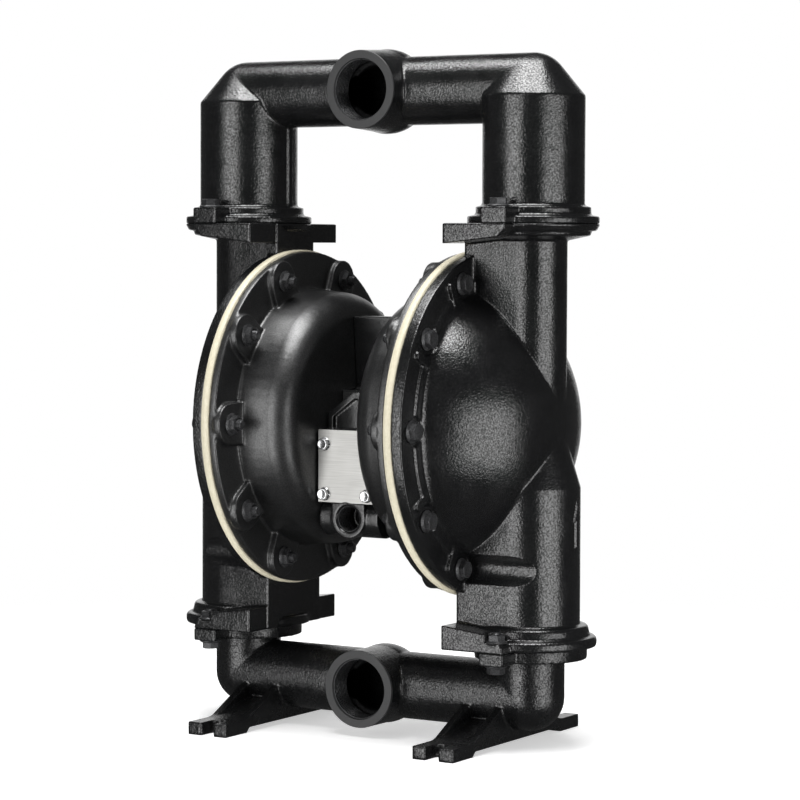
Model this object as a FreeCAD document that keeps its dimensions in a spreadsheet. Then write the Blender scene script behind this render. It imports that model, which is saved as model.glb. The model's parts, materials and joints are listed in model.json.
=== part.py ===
"""Air-operated double diaphragm pump with two-inch pipe ports, modelled in millimetres.

X runs along the diaphragm rod, the pipe ports face -Y and +Z is up.  The origin is on the
floor, under the middle of the pump.
"""
import FreeCAD, Part
import math
import os

import Sketcher

V = FreeCAD.Vector
doc = FreeCAD.newDocument("pump")
sheet = doc.addObject("Spreadsheet::Sheet", "sizes")

# Driving dimensions, one spreadsheet row each: alias, value in millimetres, meaning
DRIVING = [
    ("rod_z", 305.0, "height of the diaphragm rod axis above the floor"),
    ("clamp_x", 101.0, "middle of the pump to the middle of each diaphragm edge"),
    ("bead_r", 165.0, "outer radius of the diaphragm edge"),
    ("bead_t", 7.5, "thickness of the diaphragm edge"),
    ("flange_r", 163.0, "outer radius of the two cap flanges"),
    ("cap_bolt_r", 144.5, "bolt circle radius of the caps"),
    ("fluid_flange_t", 11.0, "thickness of the fluid cap flange"),
    ("air_flange_t", 7.8, "thickness of the air cap flange"),
    ("dome_r", 144.5, "outer radius of the fluid cap dome"),
    ("dome_x", 51.3, "middle of the pump to the centre of the dome sphere"),
    ("dome_wall", 8.0, "wall of the dome"),
    ("column_x", 162.0, "middle of the pump to the axis of each column"),
    ("upper_column_r", 32.5, "half width of the delivery column"),
    ("lower_column_r", 46.5, "half width of the suction column"),
    ("top_joint_z", 495.8, "joint between fluid caps and delivery manifold"),
    ("bottom_joint_z", 96.7, "joint between fluid caps and suction manifold"),
    ("rim_r", 62.5, "radius of the round joint flanges"),
    ("collar_r", 54.5, "radius of the collar behind each joint flange"),
    ("ear_y", 77.7, "half length of the joint ears, front to back"),
    ("joint_bolt_y", 67.0, "joint bolts in front of and behind the column axis"),
    ("leg_r", 48.5, "outer radius of the delivery manifold legs"),
    ("leg_edge_z", 616.0, "height of the edge where a leg turns into its cone"),
    ("top_port_z", 623.4, "height of the delivery port axis"),
    ("bottom_port_z", 46.9, "height of the suction port axis"),
    ("top_pipe_r", 33.0, "outer radius of the delivery cross pipe"),
    ("bottom_pipe_r", 32.4, "outer radius of the suction cross pipe"),
    ("pipe_bore_r", 25.5, "bore radius of both manifold cross pipes"),
    ("port_face_y", 50.4, "pipe port faces in front of the rod axis"),
    ("port_face_r", 37.5, "outer radius of a port at its face"),
    ("top_bulb_r", 41.0, "radius of the bulb behind the delivery port"),
    ("bottom_bulb_r", 38.8, "radius of the bulb behind the suction port"),
    ("spot_r", 15.5, "radius of the wrench clearance around a cap bolt"),
    ("port_thread_r", 29.0, "wall radius of the two-inch pipe thread"),
    ("port_thread_len", 28.0, "length of the pipe thread"),
    ("ball_r", 31.75, "radius of the check balls"),
    ("ball_lift", 15.0, "travel of a check ball off its seat"),
    ("seat_t", 12.0, "thickness of a ball seat"),
    ("seat_r", 39.8, "outer radius of a ball seat"),
    ("drum_base_r", 127.0, "radius of the air cap drum beside its flange"),
    ("drum_r", 124.0, "radius of the air cap drum before its rounded edge"),
    ("drum_face_x", 33.0, "middle of the pump to the end face of each air cap"),
    ("drum_round", 25.0, "radius of the rounded drum edge"),
    ("pad_r", 20.0, "radius of the raised pads under the cap nuts"),
    ("pad_t", 6.0, "height of the raised pads under the cap nuts"),
    ("hub_r", 29.8, "radius of the centre body spigots"),
    ("rod_r", 11.0, "radius of the diaphragm rod"),
    ("rod_half", 90.5, "half length of the diaphragm rod"),
    ("washer_r", 70.0, "radius of the diaphragm washers"),
    ("plate_y", 73.5, "front of the valve cover plate"),
    ("plate_half", 31.0, "half width of the valve cover plate"),
    ("plate_low_z", 228.9, "lower edge of the cover plate"),
    ("plate_top_z", 298.3, "upper edge of the cover plate"),
    ("chest_y", 57.0, "front rim of the valve chest"),
    ("chest_back_y", 30.0, "back of the valve chest"),
    ("spool_y", 48.0, "main air valve axis in front of the rod"),
    ("spool_z", 262.0, "height of the main air valve axis"),
    ("spool_r", 7.95, "radius of the main air valve spool"),
    ("pilot_z", 260.0, "height of the pilot pin axis"),
    ("pilot_r", 4.0, "radius of the pilot pin"),
    ("air_port_z", 213.3, "height of the air inlet axis"),
    ("air_port_y", 69.6, "face of the air inlet boss"),
    ("air_port_r", 12.3, "wall radius of the three-quarter-inch air thread"),
    ("exhaust_y", 62.0, "face of the exhaust port behind the rod"),
    ("foot_half_y", 123.6, "half length of the feet, front to back"),
    ("foot_in_x", 105.0, "inner side of a foot"),
    ("foot_out_x", 149.0, "outer side of a foot"),
    ("foot_slot_x", 126.0, "middle of a foot slot"),
    ("foot_slot_w", 13.4, "width of a foot slot"),
    ("foot_pad_t", 12.5, "thickness of a foot pad"),
    ("bolt_r", 5.0, "shank radius of the M10 flange bolts"),
    ("bolt_hole_r", 5.5, "clearance hole radius for an M10 bolt"),
    ("bolt_flange_r", 10.6, "flange radius of an M10 bolt head or nut"),
    ("bolt_hex_r", 8.66, "corner radius of an M10 hexagon, 15 mm across flats"),
    ("bolt_head_t", 8.2, "height of an M10 head or nut"),
]
# Cap bolts: degrees from straight up on each side; the top and bottom gaps clear the columns
CAP_BOLT_ANGLES = (21.8, 54.5, 90.0, 125.5, 158.2)
X_AXIS = V(1, 0, 0)
Y_AXIS = V(0, 1, 0)
Z_AXIS = V(0, 0, 1)
TURN = {"X": FreeCAD.Rotation(Y_AXIS, 90), "Y": FreeCAD.Rotation(X_AXIS, -90), "Z": FreeCAD.Rotation()}


class Size:
    """A length and the spreadsheet expression that gives it."""

    def __init__(self, value, text):
        self.value = value
        self.text = text

    def __add__(self, other):
        other = as_size(other)
        return Size(self.value + other.value, f"({self.text} + {other.text})")

    def __sub__(self, other):
        other = as_size(other)
        return Size(self.value - other.value, f"({self.text} - {other.text})")

    def __rsub__(self, number):
        return as_size(number) - self

    def __mul__(self, number):
        return Size(self.value * number, f"({self.text} * {number!r})")

    def __neg__(self):
        return Size(-self.value, f"(0 - {self.text})")


def as_size(number):
    """A plain number as a Size, so that both can stand in one formula."""
    if isinstance(number, Size):
        return number
    return Size(float(number), f"({float(number)!r})")


class Sizes:
    """The driving dimensions by name."""


size = Sizes()
for row, (alias, value, meaning) in enumerate(DRIVING, start=1):
    sheet.set(f"A{row}", meaning)
    sheet.set(f"B{row}", str(value))
    sheet.setAlias(f"B{row}", alias)
    setattr(size, alias, Size(value, f"<<sizes>>.{alias}"))
doc.recompute()

nodes = {}


def bind(thing, prop, amount):
    """Tie one property to the spreadsheet."""
    thing.setExpression(prop, as_size(amount).text)


def put(thing, at, axis="Z"):
    """Stand a primitive on a point with its own Z along the named axis."""
    thing.Placement = FreeCAD.Placement(V(*[as_size(c).value for c in at]), TURN[axis])
    for letter, coordinate in zip("xyz", at):
        bind(thing, f"Placement.Base.{letter}", coordinate)
    return thing


def cylinder(name, radius, length, at, axis="Z"):
    rod = doc.addObject("Part::Cylinder", name)
    bind(rod, "Radius", radius)
    bind(rod, "Height", length)
    return put(rod, at, axis)


def cone(name, radius_from, radius_to, length, at, axis="Z"):
    taper = doc.addObject("Part::Cone", name)
    bind(taper, "Radius1", radius_from)
    bind(taper, "Radius2", radius_to)
    bind(taper, "Height", length)
    return put(taper, at, axis)


def box(name, low, high):
    """A block between two opposite corners."""
    block = doc.addObject("Part::Box", name)
    for prop, near, far in zip(("Length", "Width", "Height"), low, high):
        bind(block, prop, as_size(far) - as_size(near))
    return put(block, low)


def ball(name, radius, at):
    sphere = doc.addObject("Part::Sphere", name)
    bind(sphere, "Radius", radius)
    return put(sphere, at)


def ring(name, radius, thickness_r, at, axis="Z"):
    torus = doc.addObject("Part::Torus", name)
    bind(torus, "Radius1", radius)
    bind(torus, "Radius2", thickness_r)
    return put(torus, at, axis)


def fuse(name, shapes):
    joined = doc.addObject("Part::MultiFuse", name)
    joined.Shapes = shapes
    joined.Refine = True
    return joined


def cut(name, solid, tool):
    rest = doc.addObject("Part::Cut", name)
    rest.Base = solid
    rest.Tool = tool
    rest.Refine = True
    return rest


def common(name, one, other):
    shared = doc.addObject("Part::MultiCommon", name)
    shared.Shapes = [one, other]
    return shared


def casting(label, adds, cuts, inside=(), recesses=()):
    """Fuse the outer forms, take out the hollows, add what stands inside, then cut recesses."""
    rest = cut(label + "_shell", fuse(label + "_form", adds), fuse(label + "_hollow", cuts))
    if inside:
        rest = fuse(label + "_cast", [rest, *inside])
    if recesses:
        rest = cut(label + "_recessed", rest, fuse(label + "_recesses", recesses))
    return rest


def mirrored(name, source, normal=X_AXIS):
    """The same piece on the other side of the pump's middle plane."""
    twin = doc.addObject("Part::Mirroring", name)
    twin.Source = source
    twin.Base = V(0, 0, 0)
    twin.Normal = normal
    return twin


def node(label, thing):
    """Give a finished sub-part its label; the label names its file."""
    thing.Label = label
    nodes[label] = thing
    return thing


def both_sides(stem, right):
    """The right-hand sub-part and its mirror image on the left."""
    node("right_" + stem, right)
    node("left_" + stem, mirrored("left_" + stem, right))


def origin_plane(body, role):
    return [plane for plane in body.Origin.OriginFeatures if plane.Role == role][0]


def outline(body, name, role, corners):
    """A closed, fully constrained sketch outline on an origin plane.

    A corner is (across, up) or (across, up, radius): the radius bends the side that
    leads to it, and a negative one bends it the other way.
    """
    sketch = body.newObject("Sketcher::SketchObject", name)
    sketch.AttachmentSupport = [(origin_plane(body, role), "")]
    sketch.MapMode = "FlatFace"
    count = len(corners)
    points = [V(as_size(c[0]).value, as_size(c[1]).value, 0) for c in corners]
    edges = [side_leading_to(points[index - 1], points[index], corners[index][2:])
             for index in range(count)]
    sketch.addGeometry(edges, False)
    rules = []
    for index in range(count):
        after = (index + 1) % count
        end_mark = nearest_end(edges[index], points[index])
        start_mark = nearest_end(edges[after], points[index])
        rules.append((Sketcher.Constraint("Coincident", index, end_mark, after, start_mark), None))
        for kind, coordinate in zip(("DistanceX", "DistanceY"), corners[index]):
            amount = as_size(coordinate)
            rules.append((Sketcher.Constraint(kind, -1, 1, index, end_mark, amount.value), amount))
        if len(corners[index]) == 3:
            radius = as_size(corners[index][2])
            amount = radius if radius.value > 0 else -radius
            rules.append((Sketcher.Constraint("Radius", index, amount.value), amount))
    sketch.addConstraint([rule for rule, amount in rules])
    for place, (rule, amount) in enumerate(rules):
        if amount is not None:
            sketch.setExpression(f"Constraints[{place}]", amount.text)
    return sketch


def side_leading_to(start, end, bend):
    """One side of an outline: straight, or bent to the radius given with its corner."""
    if not bend:
        return Part.LineSegment(start, end)
    radius = as_size(bend[0]).value
    chord = end - start
    to_centre = V(-chord.y, chord.x, 0).normalize() * math.copysign(1, radius)
    centre = (start + end) * 0.5 + to_centre * math.sqrt(radius ** 2 - (chord.Length / 2) ** 2)
    first, last = (start, end) if radius > 0 else (end, start)
    angles = [math.atan2(point.y - centre.y, point.x - centre.x) for point in (first, last)]
    if angles[1] < angles[0]:
        angles[1] += 2 * math.pi
    return Part.ArcOfCircle(Part.Circle(centre, Z_AXIS, abs(radius)), *angles)


def nearest_end(edge, point):
    """1 for an edge that starts at the point, 2 for one that ends there."""
    return 1 if (edge.StartPoint - point).Length < (edge.EndPoint - point).Length else 2


def revolved(name, corners, axis="X", at=(0, 0, 0)):
    """A turned piece.  Corners are (along the axis, out from the axis)."""
    body = doc.addObject("PartDesign::Body", name)
    role = {"X": "XZ_Plane", "Z": "XZ_Plane", "Y": "XY_Plane"}[axis]
    letter = {"X": "H_Axis", "Z": "V_Axis", "Y": "V_Axis"}[axis]
    if axis == "X":
        points = corners
    else:
        points = [(c[1], c[0], *[-as_size(r) for r in c[2:]]) for c in corners]
    sketch = outline(body, name + "_profile", role, points)
    turned = body.newObject("PartDesign::Revolution", name + "_turned")
    turned.Profile = sketch
    turned.ReferenceAxis = (sketch, [letter])
    turned.Angle = 360.0
    body.Tip = turned
    return put(body, at)


def extruded(name, corners, role, half_width, at=(0, 0, 0)):
    """A plate of even thickness, symmetric about its sketch plane."""
    body = doc.addObject("PartDesign::Body", name)
    sketch = outline(body, name + "_profile", role, corners)
    pad = body.newObject("PartDesign::Pad", name + "_pad")
    pad.Profile = sketch
    pad.Midplane = True
    bind(pad, "Length", as_size(half_width) * 2)
    body.Tip = pad
    return put(body, at)


def spread(name, master, places):
    """Separate copies of one shape, each moved by its own placement."""
    group = doc.addObject("Part::Feature", name)
    copies = []
    for place in places:
        shape = master.Shape.copy()
        shape.Placement = place.multiply(shape.Placement)
        copies.append(shape)
    group.Shape = Part.makeCompound(copies)
    group.Placement = FreeCAD.Placement()
    return group


def around_rod(angles):
    """Turns about the rod axis, each one to the front and to the back."""
    centre = V(0, 0, size.rod_z.value)
    return [FreeCAD.Placement(V(), FreeCAD.Rotation(X_AXIS, side * angle), centre)
            for side in (1, -1) for angle in angles]


def manifold_body(label, port_z, pipe_r, bulb_r, legs, cuts, inside=()):
    """Cross pipe with the bulb and threaded port that both manifolds have."""
    pipe = cylinder(label + "_pipe", pipe_r, size.column_x * 2, (-size.column_x, 0, port_z), "X")
    front = -size.port_face_y
    shoulder = math.radians(12.7)
    bulb = revolved(label + "_bulb", [
        (front, 0), (front, size.port_face_r),
        (bulb_r * -math.sin(shoulder), bulb_r * math.cos(shoulder)),
        (bulb_r, 0, -bulb_r)], "Y", (0, 0, port_z))
    bore = cylinder(label + "_bore", size.pipe_bore_r, size.column_x * 2, (-size.column_x, 0, port_z), "X")
    tap = cylinder(label + "_tap", size.port_thread_r, size.port_thread_len, (0, front, port_z), "Y")
    throat = cylinder(label + "_throat", size.pipe_bore_r - 1.5, size.port_face_y, (0, front, port_z), "Y")
    mouth = cone(label + "_mouth", size.port_thread_r + 1.6, size.port_thread_r - 0.4, 2.0,
                 (0, front, port_z), "Y")
    return casting(label, [pipe, bulb, *legs], [bore, tap, throat, mouth, *cuts], inside)


def ball_cage(stem, floor_z, wall_r, stop_z):
    """Four ribs that guide a check ball and stop its lift."""
    ribs = []
    rib_t = 6.0
    guide_r = size.ball_r + 1.0
    for turn in range(4):
        along = turn % 2
        sign = 1 if turn < 2 else -1
        near = guide_r if sign > 0 else -(wall_r + 1.5)
        far = (wall_r + 1.5) if sign > 0 else -guide_r
        for part, (reach_in, low, high) in enumerate((
                (None, floor_z, stop_z), (14.0, stop_z, stop_z + 12.0))):
            inner = near if reach_in is None or sign < 0 else as_size(reach_in)
            outer = far if reach_in is None or sign > 0 else as_size(-reach_in)
            name = f"{stem}_rib{turn}{part}"
            if along:
                ribs.append(box(name, (size.column_x - rib_t / 2, inner, low),
                                (size.column_x + rib_t / 2, outer, high)))
            else:
                ribs.append(box(name, (size.column_x + inner, -rib_t / 2, low),
                                (size.column_x + outer, rib_t / 2, high)))
    return ribs


def joint_bolt_holes(stem, low, high, radius=size.bolt_hole_r):
    """Holes for the two bolts of the right-hand joint."""
    return [cylinder(f"{stem}_bolt_hole{side}", radius, as_size(high) - low,
                     (size.column_x, size.joint_bolt_y * side, low)) for side in (-1, 1)]


def top_manifold():
    joint = size.top_joint_z
    crown = size.top_port_z
    lip = math.radians(39.1)
    leg = revolved("top_leg", [
        (joint, 0), (joint, size.rim_r), (joint + 6.6, size.rim_r), (joint + 8.2, size.collar_r),
        (joint + 15.5, size.collar_r), (joint + 17.0, size.leg_r), (size.leg_edge_z, size.leg_r),
        (crown + size.top_pipe_r * math.sin(lip), size.top_pipe_r * math.cos(lip)),
        (crown + size.top_pipe_r, 0, -size.top_pipe_r)], "Z", (size.column_x, 0, 0))
    blocks = [box(f"top_block{side}",
                  (size.column_x - 13.3, size.ear_y * side - (26 if side > 0 else 0), joint),
                  (size.column_x + 13.3, size.ear_y * side + (26 if side < 0 else 0), joint + 15.4))
              for side in (-1, 1)]
    rib = box("top_rib", (size.column_x - size.leg_r - 2.2, -4, joint + 14),
              (size.column_x - size.leg_r + 4, 4, crown - 20))
    half = fuse("top_leg_right", [leg, *blocks, rib])
    well = cylinder("top_well", 41.0, 98.0, (size.column_x, 0, joint))
    throat = cone("top_well_cone", 41.0, size.pipe_bore_r, 24.0, (size.column_x, 0, joint + 98.0))
    end = ball("top_well_end", size.pipe_bore_r, (size.column_x, 0, crown))
    hollow = fuse("top_leg_hollow", [well, throat, end, *joint_bolt_holes("top", joint - 1, joint + 20)])
    lift_z = joint + 61.4
    cage = fuse("top_cage", ball_cage("top_cage", joint + 4.0, as_size(41.0), lift_z))
    node("top_manifold", manifold_body(
        "top_manifold", crown, size.top_pipe_r, size.top_bulb_r, [half, mirrored("top_leg_left", half)],
        [hollow, mirrored("top_leg_left_hollow", hollow)],
        [cage, mirrored("top_cage_left", cage)]))


def foot():
    """One foot: a bar along Y with forked pads, and two ribs up to the cross pipe."""
    half_y = size.foot_half_y
    pad = size.foot_pad_t
    mid_x = (size.foot_in_x + size.foot_out_x) * 0.5
    bar = extruded("foot_bar", [
        (-half_y, 0), (-85.8, 0), (-81, 4.5), (81, 4.5), (85.8, 0), (half_y, 0),
        (half_y, pad), (92, pad), (80, pad + 2), (30, pad + 12), (-30, pad + 12), (-80, pad + 2),
        (-92, pad), (-half_y, pad)], "YZ_Plane", (size.foot_out_x - size.foot_in_x) * 0.5, (mid_x, 0, 0))
    ribs = []
    for number, rib_x in enumerate((size.foot_in_x + 4.0, size.foot_out_x - 4.0)):
        ribs.append(extruded(f"foot_rib{number}", [
            (-95, 4.5), (95, 4.5), (86, pad), (34, 38), (-34, 38), (-86, pad)],
            "YZ_Plane", 4.0, (rib_x, 0, 0)))
    slots = []
    for side in (-1, 1):
        end_y = (half_y - 17.0) * side
        slots.append(cylinder(f"foot_slot_end{side}", size.foot_slot_w * 0.5, pad + 4,
                              (size.foot_slot_x, end_y, -1)))
        low_y = end_y if side > 0 else -half_y - 1
        high_y = half_y + 1 if side > 0 else end_y
        slots.append(box(f"foot_slot{side}", (size.foot_slot_x - size.foot_slot_w * 0.5, low_y, -1),
                         (size.foot_slot_x + size.foot_slot_w * 0.5, high_y, pad + 4)))
    return cut("foot_right", fuse("foot_form", [bar, *ribs]), fuse("foot_slots", slots))


def bottom_manifold():
    joint = size.bottom_joint_z
    port = size.bottom_port_z
    elbow = ball("bottom_elbow", size.bottom_pipe_r, (size.column_x, 0, port))
    riser = cylinder("bottom_riser", size.bottom_pipe_r, joint - port, (size.column_x, 0, port))
    disc = cylinder("bottom_disc", size.collar_r - 1.0, 11.7, (size.column_x, 0, joint - 11.7))
    blocks = [box(f"bottom_block{side}",
                  (size.column_x - 12.8, size.ear_y * side - (30 if side > 0 else 0), joint - 11.7),
                  (size.column_x + 12.8, size.ear_y * side + (30 if side < 0 else 0), joint))
              for side in (-1, 1)]
    half = fuse("bottom_leg_right", [elbow, riser, disc, *blocks, foot()])
    well = cylinder("bottom_well", size.pipe_bore_r, joint - port + 1, (size.column_x, 0, port))
    end = ball("bottom_well_end", size.pipe_bore_r, (size.column_x, 0, port))
    hollow = fuse("bottom_leg_hollow", [well, end, *joint_bolt_holes("bottom", joint - 20, joint + 1)])
    node("bottom_manifold", manifold_body(
        "bottom_manifold", port, size.bottom_pipe_r, size.bottom_bulb_r,
        [half, mirrored("bottom_leg_left", half)],
        [hollow, mirrored("bottom_leg_left_hollow", hollow)]))


def fluid_cap():
    """Domed fluid chamber with its delivery column above and suction column below."""
    back_x = size.clamp_x + size.bead_t * 0.5
    face_x = back_x + size.fluid_flange_t
    rod = size.rod_z
    brow = math.radians(60.2)
    dome = revolved("dome", [
        (back_x, 0), (back_x, size.flange_r), (face_x, size.flange_r), (face_x, 141), (face_x + 2, 140),
        (face_x + 2, 130), (size.dome_x + size.dome_r * math.cos(brow), size.dome_r * math.sin(brow), 14),
        (size.dome_x + size.dome_r, 0, -size.dome_r)],
        "X", (0, 0, rod))
    top = size.top_joint_z
    low = size.bottom_joint_z
    upper_r = size.upper_column_r
    lower_r = size.lower_column_r
    axis_x = size.column_x
    upper = cylinder("upper_column", upper_r, top - 293, (axis_x, 0, 293))
    upper_flat = box("upper_flat", (back_x + 1.2, -upper_r, 293), (axis_x, upper_r, top))
    lower = cylinder("lower_column", lower_r, as_size(247) - low, (axis_x, 0, low))
    lower_flat = box("lower_flat", (back_x + 2.2, -lower_r, low), (axis_x, lower_r, 247))
    shoulder = cone("shoulder", lower_r, upper_r, 46, (axis_x, 0, 247))
    shoulder_flat = extruded("shoulder_flat", [
        (-lower_r, 246), (lower_r, 246), (lower_r, 247), (upper_r, 293), (-upper_r, 293), (-lower_r, 247)],
        "YZ_Plane", (axis_x - 120) * 0.5, ((axis_x + 120) * 0.5, 0, 0))
    top_ear = extruded("top_ear", [
        (108, top - 19.0), (166.5, top - 12.8), (174.5, top - 5), (174.5, top), (108, top)],
        "XZ_Plane", size.ear_y)
    low_ear = extruded("low_ear", [
        (108.5, low), (174.5, low), (173, low + 6.9), (163.5, low + 16.7), (108.5, low + 23.1)],
        "XZ_Plane", size.ear_y)
    rim = size.rim_r
    collar = size.collar_r
    top_rim = revolved("top_rim", [
        (top - 16.0, 0), (top - 16.0, upper_r), (top - 11.5, collar - 1.5), (top - 10.0, collar, -1.6),
        (top - 6.0, collar + 1.0), (top - 3.4, rim - 1.5, -3.2), (top - 2.0, rim, -1.6), (top, rim),
        (top, 0)], "Z", (axis_x, 0, 0))
    low_rim = revolved("low_rim", [
        (low, 0), (low, rim - 1.0), (low + 2.5, rim), (low + 6.0, rim), (low + 10.0, rim - 3.5, -4.2),
        (low + 10.6, collar + 1.5), (low + 17.5, collar), (low + 20.5, collar - 3.5, -3.6),
        (low + 21.5, lower_r), (low + 21.5, 0)], "Z", (axis_x, 0, 0))

    chamber = ball("chamber", size.dome_r - size.dome_wall, (size.dome_x, 0, rod))
    delivery = cylinder("delivery", 24.5, top - rod, (axis_x, 0, rod))
    delivery_flat = box("delivery_flat", (128, -24.5, 360), (axis_x, 24.5, top - size.seat_t))
    top_pocket = cylinder("top_seat_pocket", size.seat_r + 0.2, size.seat_t + 1,
                          (axis_x, 0, top - size.seat_t))
    suction = cylinder("suction", 39.0, 130, (axis_x, 0, low))
    suction_top = cone("suction_top", 39.0, 24.5, 22, (axis_x, 0, low + 130))
    low_pocket = cylinder("low_seat_pocket", size.seat_r + 0.2, size.seat_t + 1, (axis_x, 0, low - 1))
    hole = cylinder("cap_hole_one", size.bolt_hole_r, 40, (90, 0, rod + size.cap_bolt_r), "X")
    spot = cylinder("cap_spot_one", size.spot_r, 14, (face_x, 0, rod + size.cap_bolt_r), "X")
    wrench_z = rod + size.cap_bolt_r * math.cos(math.radians(CAP_BOLT_ANGLES[-1]))
    wrench_y = size.cap_bolt_r * math.sin(math.radians(CAP_BOLT_ANGLES[-1]))
    recesses = []
    walls = []
    for side in (-1, 1):
        at = (wrench_y * side, wrench_z)
        recesses.append(cylinder(f"wrench_recess{side}", size.spot_r, 120, (face_x, *at), "X"))
        walls.append(cylinder(f"recess_wall{side}", size.spot_r + 6.0, 85, (face_x, *at), "X"))
    recess_walls = common("recess_walls", fuse("recess_wall_rods", walls),
                          fuse("lower_column_solid", [lower, lower_flat]))
    nut_seats = []
    for side in (-1, 1):
        at_y = size.joint_bolt_y * side
        nut_seats.append(cylinder(f"low_nut_seat{side}", size.bolt_flange_r + 1.2, 24,
                                  (axis_x, at_y, low + 9)))
    bar_r = 4.2
    bar = fuse("stop_bar_one", [
        box("stop_bar_block", (back_x + 2, -bar_r, rod + 132), (face_x + 3.4, bar_r, rod + 151.5)),
        cylinder("stop_bar_end", bar_r, size.fluid_flange_t + 1.4, (back_x + 2, 0, rod + 151.5), "X")])
    doc.recompute()
    bars = spread("stop_bars", bar, around_rod((30.3, 62.8, 117.3, 149.6)))
    holes = spread("cap_holes", hole, around_rod(CAP_BOLT_ANGLES))
    spots = spread("cap_spots", spot, around_rod(CAP_BOLT_ANGLES))
    cage = fuse("low_cage", ball_cage("low_cage", low + size.seat_t + 4.0, as_size(39.0),
                                      low + 74.3))
    both_sides("fluid_cap", casting(
        "fluid_cap",
        [dome, upper, upper_flat, lower, lower_flat, shoulder, shoulder_flat,
         top_ear, low_ear, top_rim, low_rim, bars],
        [chamber, delivery, delivery_flat, top_pocket, suction, suction_top, low_pocket, holes, spots,
         *nut_seats, *joint_bolt_holes("cap_top", top - 40, top + 1, size.bolt_r + 0.02),
         *joint_bolt_holes("cap_low", low - 1, low + 40)],
        [cage, recess_walls], recesses))


def air_cap():
    """Drum-shaped air chamber with raised pads where its nuts sit."""
    edge_x = size.clamp_x - size.bead_t * 0.5
    inner_x = edge_x - size.air_flange_t
    face_x = size.drum_face_x
    wall = 6.0
    turn_x = face_x + size.drum_round
    drum = revolved("air_drum", [
        (edge_x, size.drum_r - wall + 3), (edge_x, size.flange_r), (inner_x, size.flange_r),
        (inner_x, size.drum_base_r), (turn_x, size.drum_r),
        (face_x, size.drum_r - size.drum_round, size.drum_round + 0.01), (face_x, size.hub_r + 0.2),
        (face_x + wall, size.hub_r + 0.2), (face_x + wall, size.drum_r - size.drum_round),
        (turn_x, size.drum_r - wall, -(size.drum_round - wall) - 0.01)], "X", (0, 0, size.rod_z))
    pad_x = inner_x - size.pad_t
    bolt_z = size.rod_z + size.cap_bolt_r
    pad_end = cylinder("pad_end", size.pad_r, size.pad_t + 1, (pad_x, 0, bolt_z), "X")
    pad_root = box("pad_root", (pad_x, -size.pad_r, size.rod_z + 122.5), (inner_x + 1, size.pad_r, bolt_z))
    pad = fuse("pad_one", [pad_end, pad_root])
    hole = cylinder("air_hole_one", size.bolt_hole_r, 30, (pad_x - 5, 0, bolt_z), "X")
    doc.recompute()
    pads = spread("nut_pads", pad, around_rod(CAP_BOLT_ANGLES))
    holes = spread("air_holes", hole, around_rod(CAP_BOLT_ANGLES))
    pin_hole = cylinder("air_pin_hole", size.pilot_r + 0.6, 10, (face_x - 1, 0, size.pilot_z), "X")
    screw_holes = [cylinder(f"air_screw_hole{number}", 4.5, 10, (face_x - 1, at_y, at_z), "X")
                   for number, (at_y, at_z) in enumerate(CAP_SCREWS)]
    both_sides("air_cap", casting("air_cap", [drum, pads], [holes, pin_hole, *screw_holes]))


# Screws that hold each air cap to the centre body: across and up, in millimetres
CAP_SCREWS = [(0, 376), (-20, 238), (26, 238)]


def centre_body():
    half = size.drum_face_x
    rod = size.rod_z
    block = extruded("centre_block", [
        (-9, 405.7), (-3, 334), (-29, 334), (-29, 196), (20, 196), (38, 214), (38, 318), (14, 338),
        (9, 405.7)], "YZ_Plane", half)
    hub = cylinder("centre_hub", size.hub_r, (half + 6.0) * 2, (-half - 6.0, 0, rod), "X")
    inlet_z = size.air_port_z
    duct = cylinder("inlet_duct", 18.7, half * 2, (-half, -50, inlet_z), "X")
    duct_web = box("inlet_web", (-half, -50, inlet_z - 18.2), (half, -20, inlet_z + 14.6))
    boss = cylinder("inlet_boss", 18.7, size.air_port_y - 30, (0, -size.air_port_y, inlet_z), "Y")
    boss_top = box("inlet_boss_top", (-18.7, -size.air_port_y, inlet_z), (18.7, -40, inlet_z + 15.1))
    outlet = cylinder("exhaust_boss", 21, size.exhaust_y, (0, 0, 262), "Y")
    tap = cylinder("inlet_tap", size.air_port_r, 30, (0, -size.air_port_y, inlet_z), "Y")
    mouth = cone("inlet_mouth", size.air_port_r + 1.7, size.air_port_r - 0.3, 2.0,
                 (0, -size.air_port_y, inlet_z), "Y")
    exhaust = cylinder("exhaust_bore", 15.1, 26, (0, size.exhaust_y - 25, 262), "Y")
    bore = cylinder("rod_bore", size.rod_r + 0.6, 100, (-50, 0, rod), "X")
    pockets = []
    for side in (-1, 1):
        start = size.drum_face_x - 9 if side > 0 else -size.drum_face_x - 6.5
        pockets.append(cylinder(f"bush_pocket{side}", 14.0, 15.5, (start, 0, rod), "X"))
    pilot = cylinder("pilot_bore", size.pilot_r + 0.05, 80, (-40, 0, size.pilot_z), "X")
    grooves = []
    for side in (-1, 1):
        middle = (half + 3.0) * side
        groove = cylinder(f"hub_groove{side}", size.hub_r + 1, 3.4, (middle - 1.7, 0, rod), "X")
        core = cylinder(f"hub_groove_core{side}", 27.2, 3.4, (middle - 1.7, 0, rod), "X")
        grooves.append(cut(f"hub_groove_ring{side}", groove, core))
    taps = []
    for number, (at_y, at_z) in enumerate(CAP_SCREWS):
        taps.append(cylinder(f"screw_tap{number}", 4.1, 80, (-40, at_y, at_z), "X"))
    chest_seat = box("chest_seat", (-half, -80, size.plate_low_z - 0.1), (half, -29, 335))
    node("center_body", casting(
        "center_body", [block, hub, duct, duct_web, boss, boss_top, outlet],
        [tap, mouth, exhaust, bore, *pockets, pilot, *grooves, *taps, chest_seat]))
    both_sides("hub_oring", ring("hub_oring", 28.6, 1.3, (half + 3.0, 0, rod), "X"))


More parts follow.
